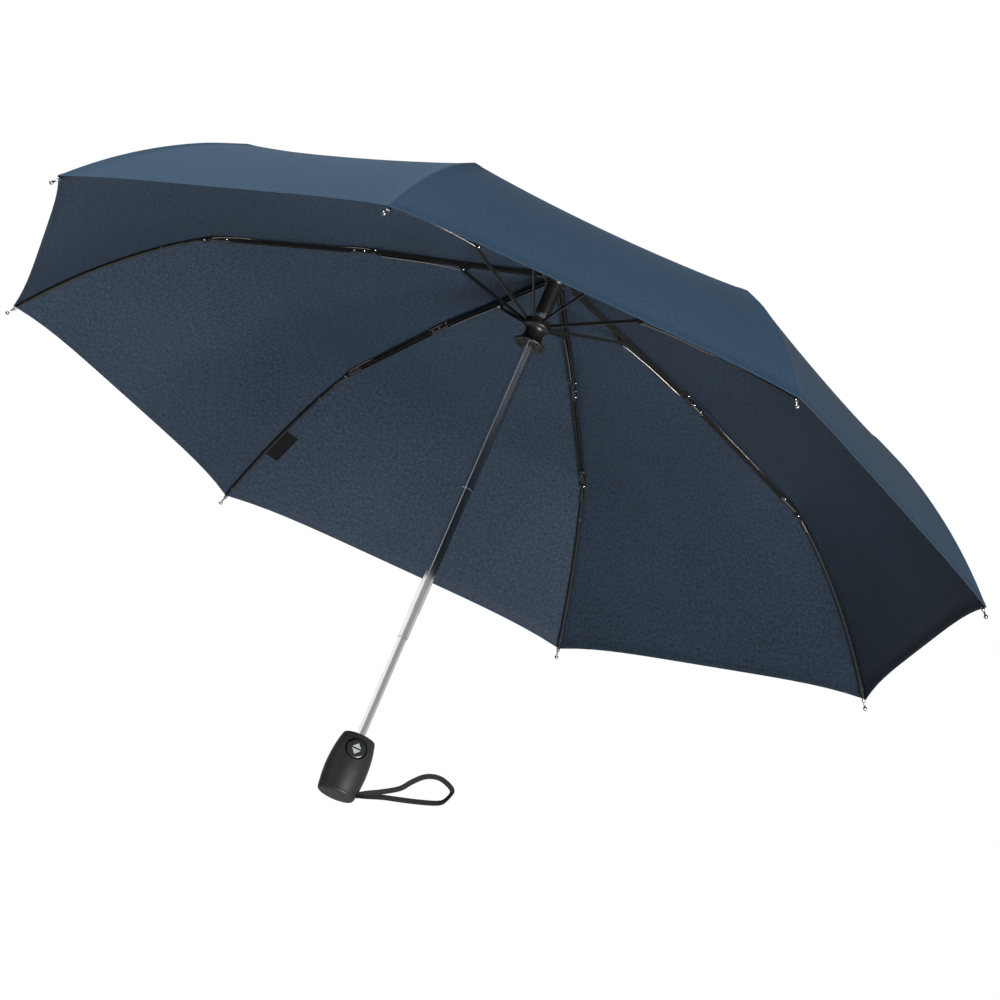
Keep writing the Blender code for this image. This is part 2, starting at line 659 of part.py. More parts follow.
def canopy():
    """Eight gores stretched straight from rib to rib, with a scalloped rim."""
    ridge = ridge_profile()
    rows = len(ridge)
    mesh = bpy.data.meshes.new("canopy")
    work = bmesh.new()
    columns = RIB_COUNT * GORE_COLUMNS
    grid = []
    for row, (radius, height) in enumerate(ridge):
        ring = []
        for column in range(columns):
            gore, step = divmod(column, GORE_COLUMNS)
            share = step / GORE_COLUMNS
            pull = SCALLOP * 4.0 * share * (1.0 - share) * (row / (rows - 1)) ** 4
            r, z = radius * (1.0 - pull), height
            if row == rows - 1:
                before = ridge[-2]
                z = height + (before[1] - height) * (radius - r) / (radius - before[0])
            left = math.radians(FIRST_RIB_DEG + gore * GORE_DEG)
            right = left + math.radians(GORE_DEG)
            a = Vector((math.cos(left), math.sin(left)))
            b = Vector((math.cos(right), math.sin(right)))
            flat = (a * (1.0 - share) + b * share) * r
            ring.append(work.verts.new((flat.x * MM, flat.y * MM, z * MM)))
        grid.append(ring)
    for row in range(rows - 1):
        for column in range(columns):
            after = (column + 1) % columns
            work.faces.new((grid[row][column], grid[row + 1][column],
                            grid[row + 1][after], grid[row][after]))
    work.to_mesh(mesh)
    work.free()
    item = add_object("canopy", mesh, NAVY_FABRIC)
    shell = item.modifiers.new("cloth", 'SOLIDIFY')
    shell.thickness = CANOPY_THICKNESS * MM
    shell.offset = 1.0


handle()
button()
strap()
shaft()
runner()
crown()
inner_rib()
middle_rib()
outer_rib()
rib_tip()
stretcher()
link_wire()
canopy()
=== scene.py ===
"""Looks of the open folding umbrella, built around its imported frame.

Metres, in the frame's own axes: +Z along the shaft, origin at the handle's bottom face. Rib k stands in
the vertical plane at azimuth 22.5 + 45 (k - 1) degrees. Points in that plane are (radius, height).
"""
import json
from math import asin, atan2, cos, dist, hypot, pi, radians, sin, sqrt, tau

import bmesh
import bpy
import numpy as np
from mathutils import Matrix, Vector


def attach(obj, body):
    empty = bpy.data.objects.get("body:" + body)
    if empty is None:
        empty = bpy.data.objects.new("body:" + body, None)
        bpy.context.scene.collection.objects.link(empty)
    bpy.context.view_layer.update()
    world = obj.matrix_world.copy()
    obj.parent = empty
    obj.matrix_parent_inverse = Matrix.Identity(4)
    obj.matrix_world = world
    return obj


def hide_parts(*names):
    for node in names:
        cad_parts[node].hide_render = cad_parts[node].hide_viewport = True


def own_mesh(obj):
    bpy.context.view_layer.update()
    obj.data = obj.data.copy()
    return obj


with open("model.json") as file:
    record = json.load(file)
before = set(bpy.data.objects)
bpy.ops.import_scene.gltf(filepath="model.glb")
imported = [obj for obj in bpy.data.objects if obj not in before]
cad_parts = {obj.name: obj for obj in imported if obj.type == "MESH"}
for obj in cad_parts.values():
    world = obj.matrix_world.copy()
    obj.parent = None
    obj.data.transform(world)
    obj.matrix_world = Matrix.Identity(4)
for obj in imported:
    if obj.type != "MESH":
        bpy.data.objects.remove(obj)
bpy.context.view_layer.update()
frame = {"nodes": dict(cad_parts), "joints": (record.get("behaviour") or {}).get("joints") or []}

MM = 0.001
UP = Vector((0.0, 0.0, 1.0))
RIBS = 8
FIRST_RIB = radians(22.5)
GORE = tau / RIBS
JOINTS = {joint["name"]: joint for joint in frame["joints"]}


# ---- camera and stage

CAMERA_PLACE = (-0.3012, -3.8018, -0.9841)
CAMERA_RIGHT = (0.9045, -0.2069, 0.3729)
CAMERA_UP = (-0.4184, -0.2612, 0.8699)
CAMERA_LENS = 158.7


def placed(name, data):
    """An object of this data, in the scene."""
    item = bpy.data.objects.new(name, data)
    bpy.context.scene.collection.objects.link(item)
    return item


def make_camera():
    data = bpy.data.cameras.new("camera")
    data.lens = CAMERA_LENS
    data.sensor_width = 36.0
    data.clip_end = 50.0
    item = placed("camera", data)
    right = Vector(CAMERA_RIGHT).normalized()
    up = Vector(CAMERA_UP)
    up = (up - right * up.dot(right)).normalized()
    turn = Matrix((right, up, right.cross(up))).transposed()
    item.matrix_world = Matrix.Translation(CAMERA_PLACE) @ turn.to_4x4()
    bpy.context.scene.camera = item


make_camera()
bpy.context.scene.view_settings.view_transform = 'Standard'


# ---- material helpers (the node helpers take a material or a world)

def new_material(name, colour, roughness, metallic=0.0, **sockets):
    """A Principled material; extra sockets are named with underscores for spaces."""
    material = bpy.data.materials.new(name)
    material.use_nodes = True
    shader = material.node_tree.nodes["Principled BSDF"]
    shader.inputs["Base Color"].default_value = (*colour, 1.0)
    shader.inputs["Roughness"].default_value = roughness
    shader.inputs["Metallic"].default_value = metallic
    for socket, value in sockets.items():
        shader.inputs[socket.replace("_", " ")].default_value = value
    return material


def add_node(material, kind, **inputs):
    node = material.node_tree.nodes.new(kind)
    for socket, value in inputs.items():
        node.inputs[socket.replace("_", " ")].default_value = value
    return node


def link(material, source, target):
    material.node_tree.links.new(source, target)


def coordinates(material, output="Object"):
    return material.node_tree.nodes.new("ShaderNodeTexCoord").outputs[output]


def noise(material, scale, detail=3.0, roughness=0.55, where=None, stretch=None):
    """The factor of a noise texture over the object's own space, or over other coordinates."""
    source = where or coordinates(material)
    if stretch:
        mapping = add_node(material, "ShaderNodeMapping", Scale=stretch)
        link(material, source, mapping.inputs["Vector"])
        source = mapping.outputs["Vector"]
    node = add_node(material, "ShaderNodeTexNoise", Scale=scale, Detail=detail, Roughness=roughness)
    link(material, source, node.inputs["Vector"])
    return node.outputs["Fac"]


def ramp(material, factor, low, high, low_at=0.3, high_at=0.7):
    """A smooth mix of two colours, driven by a factor."""
    node = material.node_tree.nodes.new("ShaderNodeValToRGB")
    node.color_ramp.elements[0].position = low_at
    node.color_ramp.elements[1].position = high_at
    node.color_ramp.elements[0].color = (*low, 1.0)
    node.color_ramp.elements[1].color = (*high, 1.0)
    link(material, factor, node.inputs["Fac"])
    return node.outputs["Color"]


def spread_value(material, factor, low, high):
    node = add_node(material, "ShaderNodeMapRange", To_Min=low, To_Max=high)
    link(material, factor, node.inputs["Value"])
    return node.outputs["Result"]


def add_bump(material, height, distance, strength=1.0, after=None):
    node = add_node(material, "ShaderNodeBump", Strength=strength, Distance=distance)
    link(material, height, node.inputs["Height"])
    if after:
        link(material, after, node.inputs["Normal"])
    return node.outputs["Normal"]


def drive(material, socket, source):
    """Feed one of the material's own sockets."""
    link(material, source, material.node_tree.nodes["Principled BSDF"].inputs[socket])


def math_node(material, operation, first, second):
    node = material.node_tree.nodes.new("ShaderNodeMath")
    node.operation = operation
    for socket, value in zip(node.inputs, (first, second)):
        if isinstance(value, (int, float)):
            socket.default_value = value
        else:
            link(material, value, socket)
    return node.outputs["Value"]


def wave(material, where, direction, period):
    """A sine wave across coordinates in metres, with a given period."""
    node = add_node(material, "ShaderNodeTexWave", Scale=tau / (20.0 * period))
    node.bands_direction = direction
    link(material, where, node.inputs["Vector"])
    return node.outputs["Fac"]


def scaled(colour, factor):
    return tuple(channel * factor for channel in colour)


# ---- materials

WEAVE_PITCH = 0.0004


def fabric(name, colour, mottling, shine):
    """Tightly woven pongee: a plain weave, fine grain and slubs, and soft broad mottling."""
    material = new_material(name, colour, 0.62, Specular_IOR_Level=shine)
    across = coordinates(material, "UV")
    fine = noise(material, 620.0, 2.0, 0.7, across)
    slub = noise(material, 310.0, 2.0, 0.6, across, (1.0, 0.8, 1.0))
    broad = noise(material, 7.0, 2.0, 0.5)
    blend = math_node(material, 'ADD', math_node(material, 'MULTIPLY', fine, 0.55),
                      math_node(material, 'MULTIPLY', slub, 0.35))
    blend = math_node(material, 'ADD', blend, math_node(material, 'MULTIPLY', broad, 0.10))
    low, high = scaled(colour, 1.0 - mottling), scaled(colour, 1.0 + mottling)
    drive(material, "Base Color", ramp(material, blend, low, high, 0.36, 0.64))
    weave = math_node(material, 'MULTIPLY', wave(material, across, 'X', WEAVE_PITCH),
                      wave(material, across, 'Y', WEAVE_PITCH))
    first = add_bump(material, weave, 0.00006, 0.5)
    normal = add_bump(material, slub, 0.0002, 0.5, first)
    drive(material, "Normal", normal)
    drive(material, "Roughness", spread_value(material, fine, 0.55, 0.72))
    return material


def speckled(name, colour, roughness, scale, depth, specular=0.5):
    """Moulded or painted surface with fine grain and slightly uneven gloss."""
    material = new_material(name, colour, roughness, Specular_IOR_Level=specular)
    grain = noise(material, scale, 3.0, 0.6)
    broad = noise(material, 60.0, 2.0, 0.5)
    drive(material, "Normal", add_bump(material, grain, depth, 0.6))
    drive(material, "Roughness", spread_value(material, broad, roughness * 0.85, roughness * 1.15))
    drive(material, "Base Color", ramp(material, broad, scaled(colour, 0.9), scaled(colour, 1.1)))
    return material


def plated(name, colour, roughness, stretch=(1.0, 1.0, 1.0)):
    """Bright plated steel with faint drawing marks."""
    material = new_material(name, colour, roughness, 1.0)
    marks = noise(material, 1500.0, 2.0, 0.6, None, stretch)
    broad = noise(material, 40.0, 2.0, 0.5)
    drive(material, "Roughness", spread_value(material, marks, roughness * 0.7, roughness * 1.3))
    drive(material, "Base Color", ramp(material, broad, scaled(colour, 0.94), colour))
    drive(material, "Normal", add_bump(material, marks, 0.000015, 0.4))
    return material


def webbing_material():
    """Narrow woven tape: fine ribs along it and across it."""
    colour = (0.0058, 0.0056, 0.0050)
    material = new_material("webbing", colour, 0.8, Specular_IOR_Level=0.2)
    along = coordinates(material, "UV")
    ribs = wave(material, along, 'Y', 0.0009)
    rows = wave(material, along, 'X', 0.0006)
    weave = math_node(material, 'MULTIPLY', ribs, rows)
    drive(material, "Normal", add_bump(material, weave, 0.00025, 0.8))
    # The colour follows the weave's height: darker in its hollows as painted shade, lighter on its raised
    # ribs as painted highlight.
    drive(material, "Base Color", ramp(material, weave, scaled(colour, 0.6), scaled(colour, 2.2), 0.1, 0.9))
    return material


# One navy dye on both faces: the inside colour is the same navy made darker, painted shade for the underside
# of the canopy.
OUTSIDE_NAVY = (0.0205, 0.0410, 0.0690)
INSIDE_NAVY_PAINTED_SHADE = (0.0095, 0.0159, 0.0250)
FABRIC_OUT = fabric("canopy_outside", OUTSIDE_NAVY, 0.24, 0.04)
FABRIC_IN_PAINTED_SHADE = fabric("canopy_inside_painted_shade", INSIDE_NAVY_PAINTED_SHADE, 0.70, 0.11)
BLACK_STEEL = speckled("black_steel", (0.004, 0.004, 0.0038), 0.30, 700.0, 0.00002, 0.35)
BRIGHT_STEEL = plated("bright_steel", (0.78, 0.77, 0.74), 0.20)
WIRE_STEEL = plated("wire_steel", (0.24, 0.225, 0.20), 0.30)
RIB_COATING = speckled("rib_coating", (0.0032, 0.0032, 0.0031), 0.62, 700.0, 0.00002, 0.2)
SHAFT_STEEL = plated("shaft_steel", (0.86, 0.87, 0.88), 0.07, (1.0, 1.0, 0.03))
# A rougher strip down one corner of each tube, a little lighter than the tube: its lighter colour is painted
# highlight for the bright line along the shaft.
HIGHLIGHT_STRIP_STEEL = plated("shaft_highlight_strip", (0.90, 0.90, 0.92), 0.42, (1.0, 1.0, 0.03))
TIP_STEEL = plated("tip_steel", (0.22, 0.22, 0.22), 0.25)
BLACK_PLASTIC = speckled("black_plastic", (0.004, 0.004, 0.0038), 0.38, 500.0, 0.00003, 0.30)
SOFT_TOUCH = speckled("soft_touch", (0.0080, 0.0088, 0.0082), 0.52, 2200.0, 0.00003, 0.22)
GLOSS_BLACK = speckled("button_black", (0.0060, 0.0070, 0.0066), 0.24, 300.0, 0.00001, 0.45)
PRINT_GREY = speckled("arrow_print", (0.17, 0.185, 0.185), 0.5, 900.0, 0.00001)
LABEL_BLACK = fabric("label_satin", (0.0022, 0.0023, 0.0026), 0.2, 0.08)
THREAD = speckled("thread", (0.004, 0.005, 0.007), 0.8, 4000.0, 0.00005)
WEBBING = webbing_material()


# ---- mesh helpers

def make_object(name, vertices, faces, materials, smooth=True):
    mesh = bpy.data.meshes.new(name)
    mesh.from_pydata([tuple(v) for v in vertices], [], faces)
    for material in materials:
        mesh.materials.append(material)
    if smooth:
        mesh.shade_smooth()
    return placed(name, mesh)


def rounded(profile, radius, steps=4):
    """A profile with its inner corners replaced by arcs of about that radius."""
    result = [profile[0]]
    for before, here, after in zip(profile, profile[1:], profile[2:]):
        p, q, r = (np.array(x, float) for x in (before, here, after))
        reach = min(radius, np.linalg.norm(q - p) * 0.45, np.linalg.norm(r - q) * 0.45)
        start = q + (p - q) / np.linalg.norm(p - q) * reach
        end = q + (r - q) / np.linalg.norm(r - q) * reach
        for i in range(steps + 1):
            t = i / steps
            result.append(tuple((1 - t) ** 2 * start + 2 * t * (1 - t) * q + t ** 2 * end))
    result.append(profile[-1])
    return result


def smooth_line(points, per_span):
    """Points of a Catmull-Rom curve through a list of points of any dimension."""
    knots = [np.array(point, float) for point in points]
    knots = [2 * knots[0] - knots[1]] + knots + [2 * knots[-1] - knots[-2]]
    result = []
    for a, b, c, d in zip(knots, knots[1:], knots[2:], knots[3:]):
        for step in range(per_span):
            t = step / per_span
            result.append(0.5 * ((2 * b) + (c - a) * t + (2 * a - 5 * b + 4 * c - d) * t ** 2
                                 + (3 * b - a - 3 * c + d) * t ** 3))
    result.append(knots[-2])
    return result


def turned(name, profile, segments, material, closed=False):
    """A lathed solid from (radius, height) in millimetres; open runs end on the axis."""
    vertices, faces, rings = [], [], []
    for radius, height in profile:
        start = len(vertices)
        if radius < 1e-6:
            rings.append([start] * segments)
            vertices.append((0.0, 0.0, height * MM))
        else:
            rings.append(range(start, start + segments))
            vertices += [(x * MM, y * MM, height * MM) for x, y in round_section(radius, segments)]
    pairs = list(zip(rings, rings[1:]))
    if closed:
        pairs.append((rings[-1], rings[0]))
    for upper, lower in pairs:
        for i in range(segments):
            j = (i + 1) % segments
            corners = list(dict.fromkeys((upper[i], lower[i], lower[j], upper[j])))
            if len(corners) > 2:
                faces.append(corners)
    item = make_object(name, vertices, faces, [material])
    sharpen(item)
    return item


def sharpen(item, degrees=32.0):
    item.data.shade_smooth()
    item.data.set_sharp_from_angle(angle=radians(degrees))


def unwrap(item, places):
    """UV coordinates from one place for each vertex."""
    layer = item.data.uv_layers.new(name="flat")
    for corner, uv in zip(item.data.loops, layer.data):
        uv.uv = places[corner.vertex_index]


def swept(name, path, section, material, ups=None):
    """A section of (side, up) points carried along a path, with filled ends and UVs along it."""
    path = [Vector(p) for p in path]
    count = len(section)
    vertices, faces = [], []
    run = [0.0]
    side = None
    for i, place in enumerate(path):
        forward = (path[min(i + 1, len(path) - 1)] - path[max(i - 1, 0)]).normalized()
        if ups:
            up = Vector(ups[i])
            side = forward.cross(up).normalized()
        elif side is None:
            guess = UP if abs(forward.z) < 0.9 else Vector((1.0, 0.0, 0.0))
            side = forward.cross(guess).normalized()
        side = (side - forward * side.dot(forward)).normalized()
        up = side.cross(forward)
        if i:
            run.append(run[-1] + (place - path[i - 1]).length)
        for x, y in section:
            vertices.append(place + side * x + up * y)
    for i in range(len(path) - 1):
        for j in range(count):
            k = (j + 1) % count
            a, b = i * count, (i + 1) * count
            faces.append((a + j, a + k, b + k, b + j))
    faces.append(tuple(reversed(range(count))))
    last = (len(path) - 1) * count
    faces.append(tuple(range(last, last + count)))
    item = make_object(name, vertices, faces, [material])
    around = [0.0]
    for p, q in zip(section, section[1:]):
        around.append(around[-1] + dist(p, q))
    unwrap(item, [(u, v) for v in run for u in around])
    sharpen(item, 50.0)
    return item


def round_section(radius, sides):
    return [(radius * cos(tau * i / sides), radius * sin(tau * i / sides))
            for i in range(sides)]


def flat_section(width, thickness, corner, steps=3):
    """A rounded rectangle of (side, up) points."""
    points = []
    for quarter in range(4):
        cx = (width / 2 - corner) * (1 if quarter in (0, 3) else -1)
        cy = (thickness / 2 - corner) * (1 if quarter in (0, 1) else -1)
        for i in range(steps + 1):
            angle = pi / 2 * (quarter + i / steps)
            points.append((cx + corner * cos(angle), cy + corner * sin(angle)))
    return points


def double_sheet(rows, columns, flipped):
    """Faces of a closed sheet, a grid above and the same below: (front, back, edge) lists."""
    below = rows * columns
    front = []
    for row in range(rows - 1):
        for column in range(columns - 1):
            a = row * columns + column
            front.append((a, a + columns, a + columns + 1, a + 1))
    border = [row * columns for row in range(rows)]
    border += [(rows - 1) * columns + column for column in range(1, columns)]
    border += [row * columns + columns - 1 for row in range(rows - 2, -1, -1)]
    border += [column for column in range(columns - 2, 0, -1)]
    if flipped:
        front = [quad[::-1] for quad in front]
        border = border[::-1]
    back = [tuple(below + i for i in quad[::-1]) for quad in front]
    edge = [(b, a, below + a, below + b) for a, b in zip(border, border[1:] + border[:1])]
    return front, back, edge


def cut(item, cutters):
    """Cut other objects out of one, and drop them."""
    for other in cutters:
        step = item.modifiers.new("cut", 'BOOLEAN')
        step.operation = 'DIFFERENCE'
        step.solver = 'EXACT'
        step.object = other
        bpy.context.view_layer.update()
        graph = bpy.context.evaluated_depsgraph_get()
        mesh = bpy.data.meshes.new_from_object(item.evaluated_get(graph))
        item.modifiers.clear()
        item.data = mesh
        bpy.data.objects.remove(other, do_unlink=True)
    sharpen(item)
    return item


def block(low, high):
    """A box between two corners in millimetres, as a cutter."""
    vertices = [(x * MM, y * MM, z * MM) for x in (low[0], high[0])
                for y in (low[1], high[1]) for z in (low[2], high[2])]
    faces = [(0, 1, 3, 2), (4, 6, 7, 5), (0, 4, 5, 1), (2, 3, 7, 6), (0, 2, 6, 4), (1, 5, 7, 3)]
    return make_object("block", vertices, faces, [], smooth=False)


def joined(name, items):
    """Several objects with one material each made into one object."""
    work = bmesh.new()
    for other in items:
        work.from_mesh(other.data)
    mesh = bpy.data.meshes.new(name)
    work.to_mesh(mesh)
    work.free()
    mesh.materials.append(items[0].data.materials[0])
    for other in items:
        bpy.data.objects.remove(other, do_unlink=True)
    item = placed(name, mesh)
    sharpen(item)
    return item


def carried(item, body, stands_for=None):
    """Let a piece move with a body and show in place of a CAD node."""
    if stands_for:
        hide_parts(stands_for)
    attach(item, body)
    return item


def dress(node, material):
    """Give a CAD node its finish."""
    item = frame["nodes"][node]
    item.data.materials.clear()
    item.data.materials.append(material)


# ---- rib geometry

def pivot(joint):
    x, y, z = JOINTS[joint]["pos_m"]
    return hypot(x, y), z


CROWN_PIVOT = pivot("inner_rib_fold_1")
INNER_JOINT = pivot("middle_rib_fold_1")
OUTER_JOINT = pivot("outer_rib_fold_1")
RUNNER_PIVOT = pivot("stretcher_fold_1")
TIP = (0.490, 0.345)
STRETCHER_JOINT = (0.0883, 0.5203)
INNER_RISE = 2.2 * MM
MIDDLE_DROP = 4.2 * MM
OUTER_RISE = 1.6 * MM
OUTER_BOW = 10.0 * MM
INNER_TOP = 2.0 * MM


class Segment:
    """One rib section: its pivot, slope and length, with the far pivot off its centreline."""

    def __init__(self, start, end, offset):
        span = dist(start, end)
        self.start = start
        self.length = sqrt(span ** 2 - offset ** 2)
        self.slope = atan2(end[1] - start[1], end[0] - start[0]) - asin(offset / span)

    def plane(self, along, normal):
        """(radius, height) of a point given along the section and away from its underside."""
        c, s = cos(self.slope), sin(self.slope)
        return self.start[0] + along * c - normal * s, self.start[1] + along * s + normal * c

    def local(self, target):
        c, s = cos(self.slope), sin(self.slope)
        dr, dz = target[0] - self.start[0], target[1] - self.start[1]
        return dr * c + dz * s, -dr * s + dz * c

    def axes(self, rib):
        """Unit vectors along the section, across it and away from its underside."""
        radial, across = rib_axes(rib)
        c, s = cos(self.slope), sin(self.slope)
        return radial * c + UP * s, across, UP * c - radial * s

    def point(self, rib, along, normal, side=0.0):
        radial, across = rib_axes(rib)
        r, z = self.plane(along, normal)
        return radial * r + across * side + Vector((0.0, 0.0, z))


def rib_axes(rib):
    angle = FIRST_RIB + (rib - 1) * GORE
    return Vector((cos(angle), sin(angle), 0.0)), Vector((-sin(angle), cos(angle), 0.0))


INNER = Segment(CROWN_PIVOT, INNER_JOINT, INNER_RISE)
MIDDLE = Segment(INNER_JOINT, OUTER_JOINT, -MIDDLE_DROP)
OUTER = Segment(OUTER_JOINT, TIP, OUTER_RISE)


def outer_wire(share):
    """A point of the bowed outer rib's centreline, in its own section."""
    return OUTER.length * share, OUTER_RISE + OUTER_BOW * 4.0 * share * (1.0 - share)


# ---- canopy

CLOTH = 0.30 * MM
HEM_CLOTH = 0.85 * MM
HEM_WIDTH = 5.0 * MM
SEAM_HALF = 2.2 * MM
SEAM_RISE = 0.35 * MM
RIM_DRAW = 7.5 * MM
RIM_POWER = 4.5
SAG = 3.0 * MM
RIDGE_ROUNDING = 4.0 * MM
GORE_ROUNDING = 28.0 * MM
SAMPLE = 1.0 * MM
SEAM_STEPS = np.array((0.0, 1.1, 2.2, 2.7)) * MM
GORE_COLUMNS = 9


def ridge_controls():
    """The fabric's line along a rib, from the crown's hole to the corner."""
    crown_height = CROWN_PIVOT[1] + 5.0 * MM
    points = [(4.5 * MM, crown_height), (14.0 * MM, crown_height)]
    for along in (45.0 * MM, 105.0 * MM):
        points.append(INNER.plane(along, INNER_TOP + 1.0 * MM))
    points.append(MIDDLE.plane(0.0, 2.6 * MM))
    points.append(MIDDLE.plane(MIDDLE.length * 0.5, 2.0 * MM))
    points.append(MIDDLE.plane(MIDDLE.length - 4.0 * MM, 0.5 * MM))
    for share in np.linspace(0.18, 0.963, 9):
        along, normal = outer_wire(share)
        points.append(OUTER.plane(along, normal + 2.7 * MM))
    return np.array(points) + np.array((0.0, CLOTH))


def resampled(points):
    """Evenly spaced points along a line, with their distance from its start."""
    steps = np.linalg.norm(np.diff(points, axis=0), axis=1)
    at = np.concatenate(([0.0], np.cumsum(steps)))
    even = np.linspace(0.0, at[-1], int(at[-1] / SAMPLE) + 1)
    line = np.column_stack([np.interp(even, at, points[:, i]) for i in range(2)])
    return even, line


def softened(line, sigma):
    """The line smoothed along its length, with its ends kept."""
    reach = int(4 * sigma / SAMPLE)
    ahead = line[0] + (line[0] - line[1:reach + 1][::-1])
    behind = line[-1] + (line[-1] - line[-reach - 1:-1][::-1])
    padded = np.vstack((ahead, line, behind))
    kernel = np.exp(-0.5 * (np.arange(-reach, reach + 1) * SAMPLE / sigma) ** 2)
    kernel /= kernel.sum()
    return np.column_stack([np.convolve(padded[:, i], kernel, "valid") for i in range(2)])


RUN, RIDGE_RAW = resampled(ridge_controls())
RIDGE = softened(RIDGE_RAW, RIDGE_ROUNDING)
MIDLINE = softened(RIDGE_RAW, GORE_ROUNDING)
RIM_RUN = RUN[-1]
INNER_RUN = float(np.interp(INNER_JOINT[0], RIDGE[:, 0], RUN))
OUTER_RUN = float(np.interp(OUTER_JOINT[0], RIDGE[:, 0], RUN))
RIB_AXIS = [np.array(rib_axes(rib)[0]) for rib in range(1, RIBS + 1)]


def cloth_middle(gore, share, run):
    """The fabric's middle surface: a gore from rib to rib, at a share of the way across it."""
    hump = 4.0 * share * (1.0 - share)
    outer = np.clip((run - OUTER_RUN) / (RIM_RUN - OUTER_RUN), 0.0, 1.0)
    drawn = run - RIM_DRAW * (1.0 - np.abs(2.0 * share - 1.0) ** RIM_POWER) * outer ** 2
    weight = hump ** 0.8
    radius, height = ((1 - weight) * np.interp(drawn, RUN, RIDGE[:, i])
                      + weight * np.interp(drawn, RUN, MIDLINE[:, i]) for i in (0, 1))
    height = height - SAG * hump * np.sin(pi * np.clip(run / RIM_RUN, 0.0, 1.0))
    left, right = RIB_AXIS[gore], RIB_AXIS[(gore + 1) % RIBS]
    flat = (1.0 - share)[..., None] * left + share[..., None] * right
    return flat * radius[..., None] + height[..., None] * np.array((0.0, 0.0, 1.0))


def unit(vectors):
    return vectors / np.linalg.norm(vectors, axis=-1, keepdims=True)


def slopes(function, share, run):
    """Unit normals of a surface function, pointing out of the canopy."""
    d_share, d_run = 0.002, 0.3 * MM
    low, high = np.maximum(share - d_share, 0.0), np.minimum(share + d_share, 1.0)
    across = function(high, run) - function(low, run)
    before, after = np.maximum(run - d_run, 0.0), np.minimum(run + d_run, RIM_RUN)
    along = function(share, after) - function(share, before)
    return unit(np.cross(along, across))


def chord(run):
    return 2.0 * np.interp(run, RUN, RIDGE[:, 0]) * sin(GORE / 2)


def symmetric(normal, gore, share):
    """On a rib the two gores share one normal, in the rib's own plane."""
    result = normal.copy()
    for edge, rib in ((0.0, gore), (1.0, gore + 1)):
        across = np.array(rib_axes(rib % RIBS + 1)[1])
        on_rib = np.isclose(share, edge)
        flat = normal - (normal @ across)[..., None] * across
        result[on_rib] = unit(flat)[on_rib]
    return result


def cloth_layer(gore, side):
    """The outer or inner face of the fabric, with the seam's fold and the hem's thickness."""
    def surface(share, run):
        normal = symmetric(slopes(lambda s, r: cloth_middle(gore, s, r), share, run), gore, share)
        from_rib = np.minimum(share, 1.0 - share) * chord(run)
        seam = np.clip((SEAM_HALF + 0.5 * MM - from_rib) / (0.5 * MM), 0.0, 1.0)
        rim = RIM_RUN - run
        hem = np.clip((HEM_WIDTH + 0.6 * MM - rim) / (0.6 * MM), 0.0, 1.0)
        thick = CLOTH + (HEM_CLOTH - CLOTH) * hem * np.clip(0.45 + rim / (0.8 * MM), 0.0, 1.0)
        offset = side * thick / 2 + (SEAM_RISE * seam if side > 0 else 0.0)
        return cloth_middle(gore, share, run) + normal * offset[..., None]
    return surface


def half_gore(name, gore, half, runs):
    """One piece of fabric on one rib section, as a closed double face."""
    narrow = SEAM_STEPS[None, :] / chord(runs)[:, None]
    limits = 0.5 * np.arange(len(SEAM_STEPS)) / (len(SEAM_STEPS) + 3)
    start = np.minimum(narrow, limits[None, :])
    fan = np.linspace(0.0, 1.0, GORE_COLUMNS + 1)[1:]
    rest = start[:, -1:] + (0.5 - start[:, -1:]) * fan[None, :]
    share = np.hstack((start, rest))
    if half:
        share = 1.0 - share
    run = np.repeat(runs[:, None], share.shape[1], axis=1)
    places, normals = [], []
    for side in (1.0, -1.0):
        surface = cloth_layer(gore, side)
        places.append(surface(share, run).reshape(-1, 3))
        normals.append(side * symmetric(slopes(surface, share, run), gore, share).reshape(-1, 3))
    front, back, edge = double_sheet(*share.shape, half)
    item = make_object(name, np.vstack(places), front + back + edge, [FABRIC_OUT, FABRIC_IN_PAINTED_SHADE])
    mesh = item.data
    vertex_normals = np.vstack(normals)
    loop_normals = np.zeros((len(mesh.loops), 3))
    flat = np.stack(((share - 0.5) * chord(run), run), axis=-1).reshape(-1, 2)
    unwrap(item, np.vstack((flat, flat)))
    for face in mesh.polygons:
        # The back faces take the darker inside colour, which is painted shade.
        face.material_index = 1 if face.index >= len(front) else 0
        for loop in face.loop_indices:
            index = mesh.loops[loop].vertex_index
            on_edge = face.index >= len(front) + len(back)
            loop_normals[loop] = face.normal if on_edge else vertex_normals[index]
    mesh.normals_split_custom_set(loop_normals.tolist())
    return item


# Each zone: its rib section, the runs of its rows, its flap's lean and the side that it folds to.
ZONES = {
    "inner": (INNER, np.linspace(0.0, INNER_RUN, 13), 30.0, 1.0),
    "middle": (MIDDLE, np.linspace(INNER_RUN, OUTER_RUN, 15), 7.0, -1.0),
    "outer": (OUTER, np.concatenate((
        np.linspace(OUTER_RUN, RIM_RUN - HEM_WIDTH - 0.6 * MM, 19),
        RIM_RUN - np.array((HEM_WIDTH, 0.8 * MM, 0.25 * MM, 0.0)))), 35.0, 1.0),
}


def pleat(item, zone, rib):
    """Give a piece of fabric its own copy of its mesh; its zone's section and lean are looked up but nothing
    is folded.
    """
    segment, runs, lean_deg, outward = ZONES[zone]
    _, across, normal = segment.axes(rib)
    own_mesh(item)


def make_canopy():
    for gore in range(RIBS):
        for half in (0, 1):
            rib = (gore + half) % RIBS + 1
            for zone, (_, runs, _, _) in ZONES.items():
                item = half_gore(f"canopy_{zone}_{gore + 1}{'ab'[half]}", gore, half, runs)
                first = (zone, gore, half) == ("inner", 0, 0)
                carried(item, f"{zone}_{rib}", "canopy" if first else None)
                pleat(item, zone, rib)


make_canopy()


LABEL_GORE = 1
LABEL_RIB = 3
LABEL_RUN = 0.1000
LABEL_LENGTH = 34.0 * MM
LABEL_NEAR = 2.5 * MM
LABEL_WIDTH = 14.0 * MM
LABEL_THICKNESS = 0.35 * MM


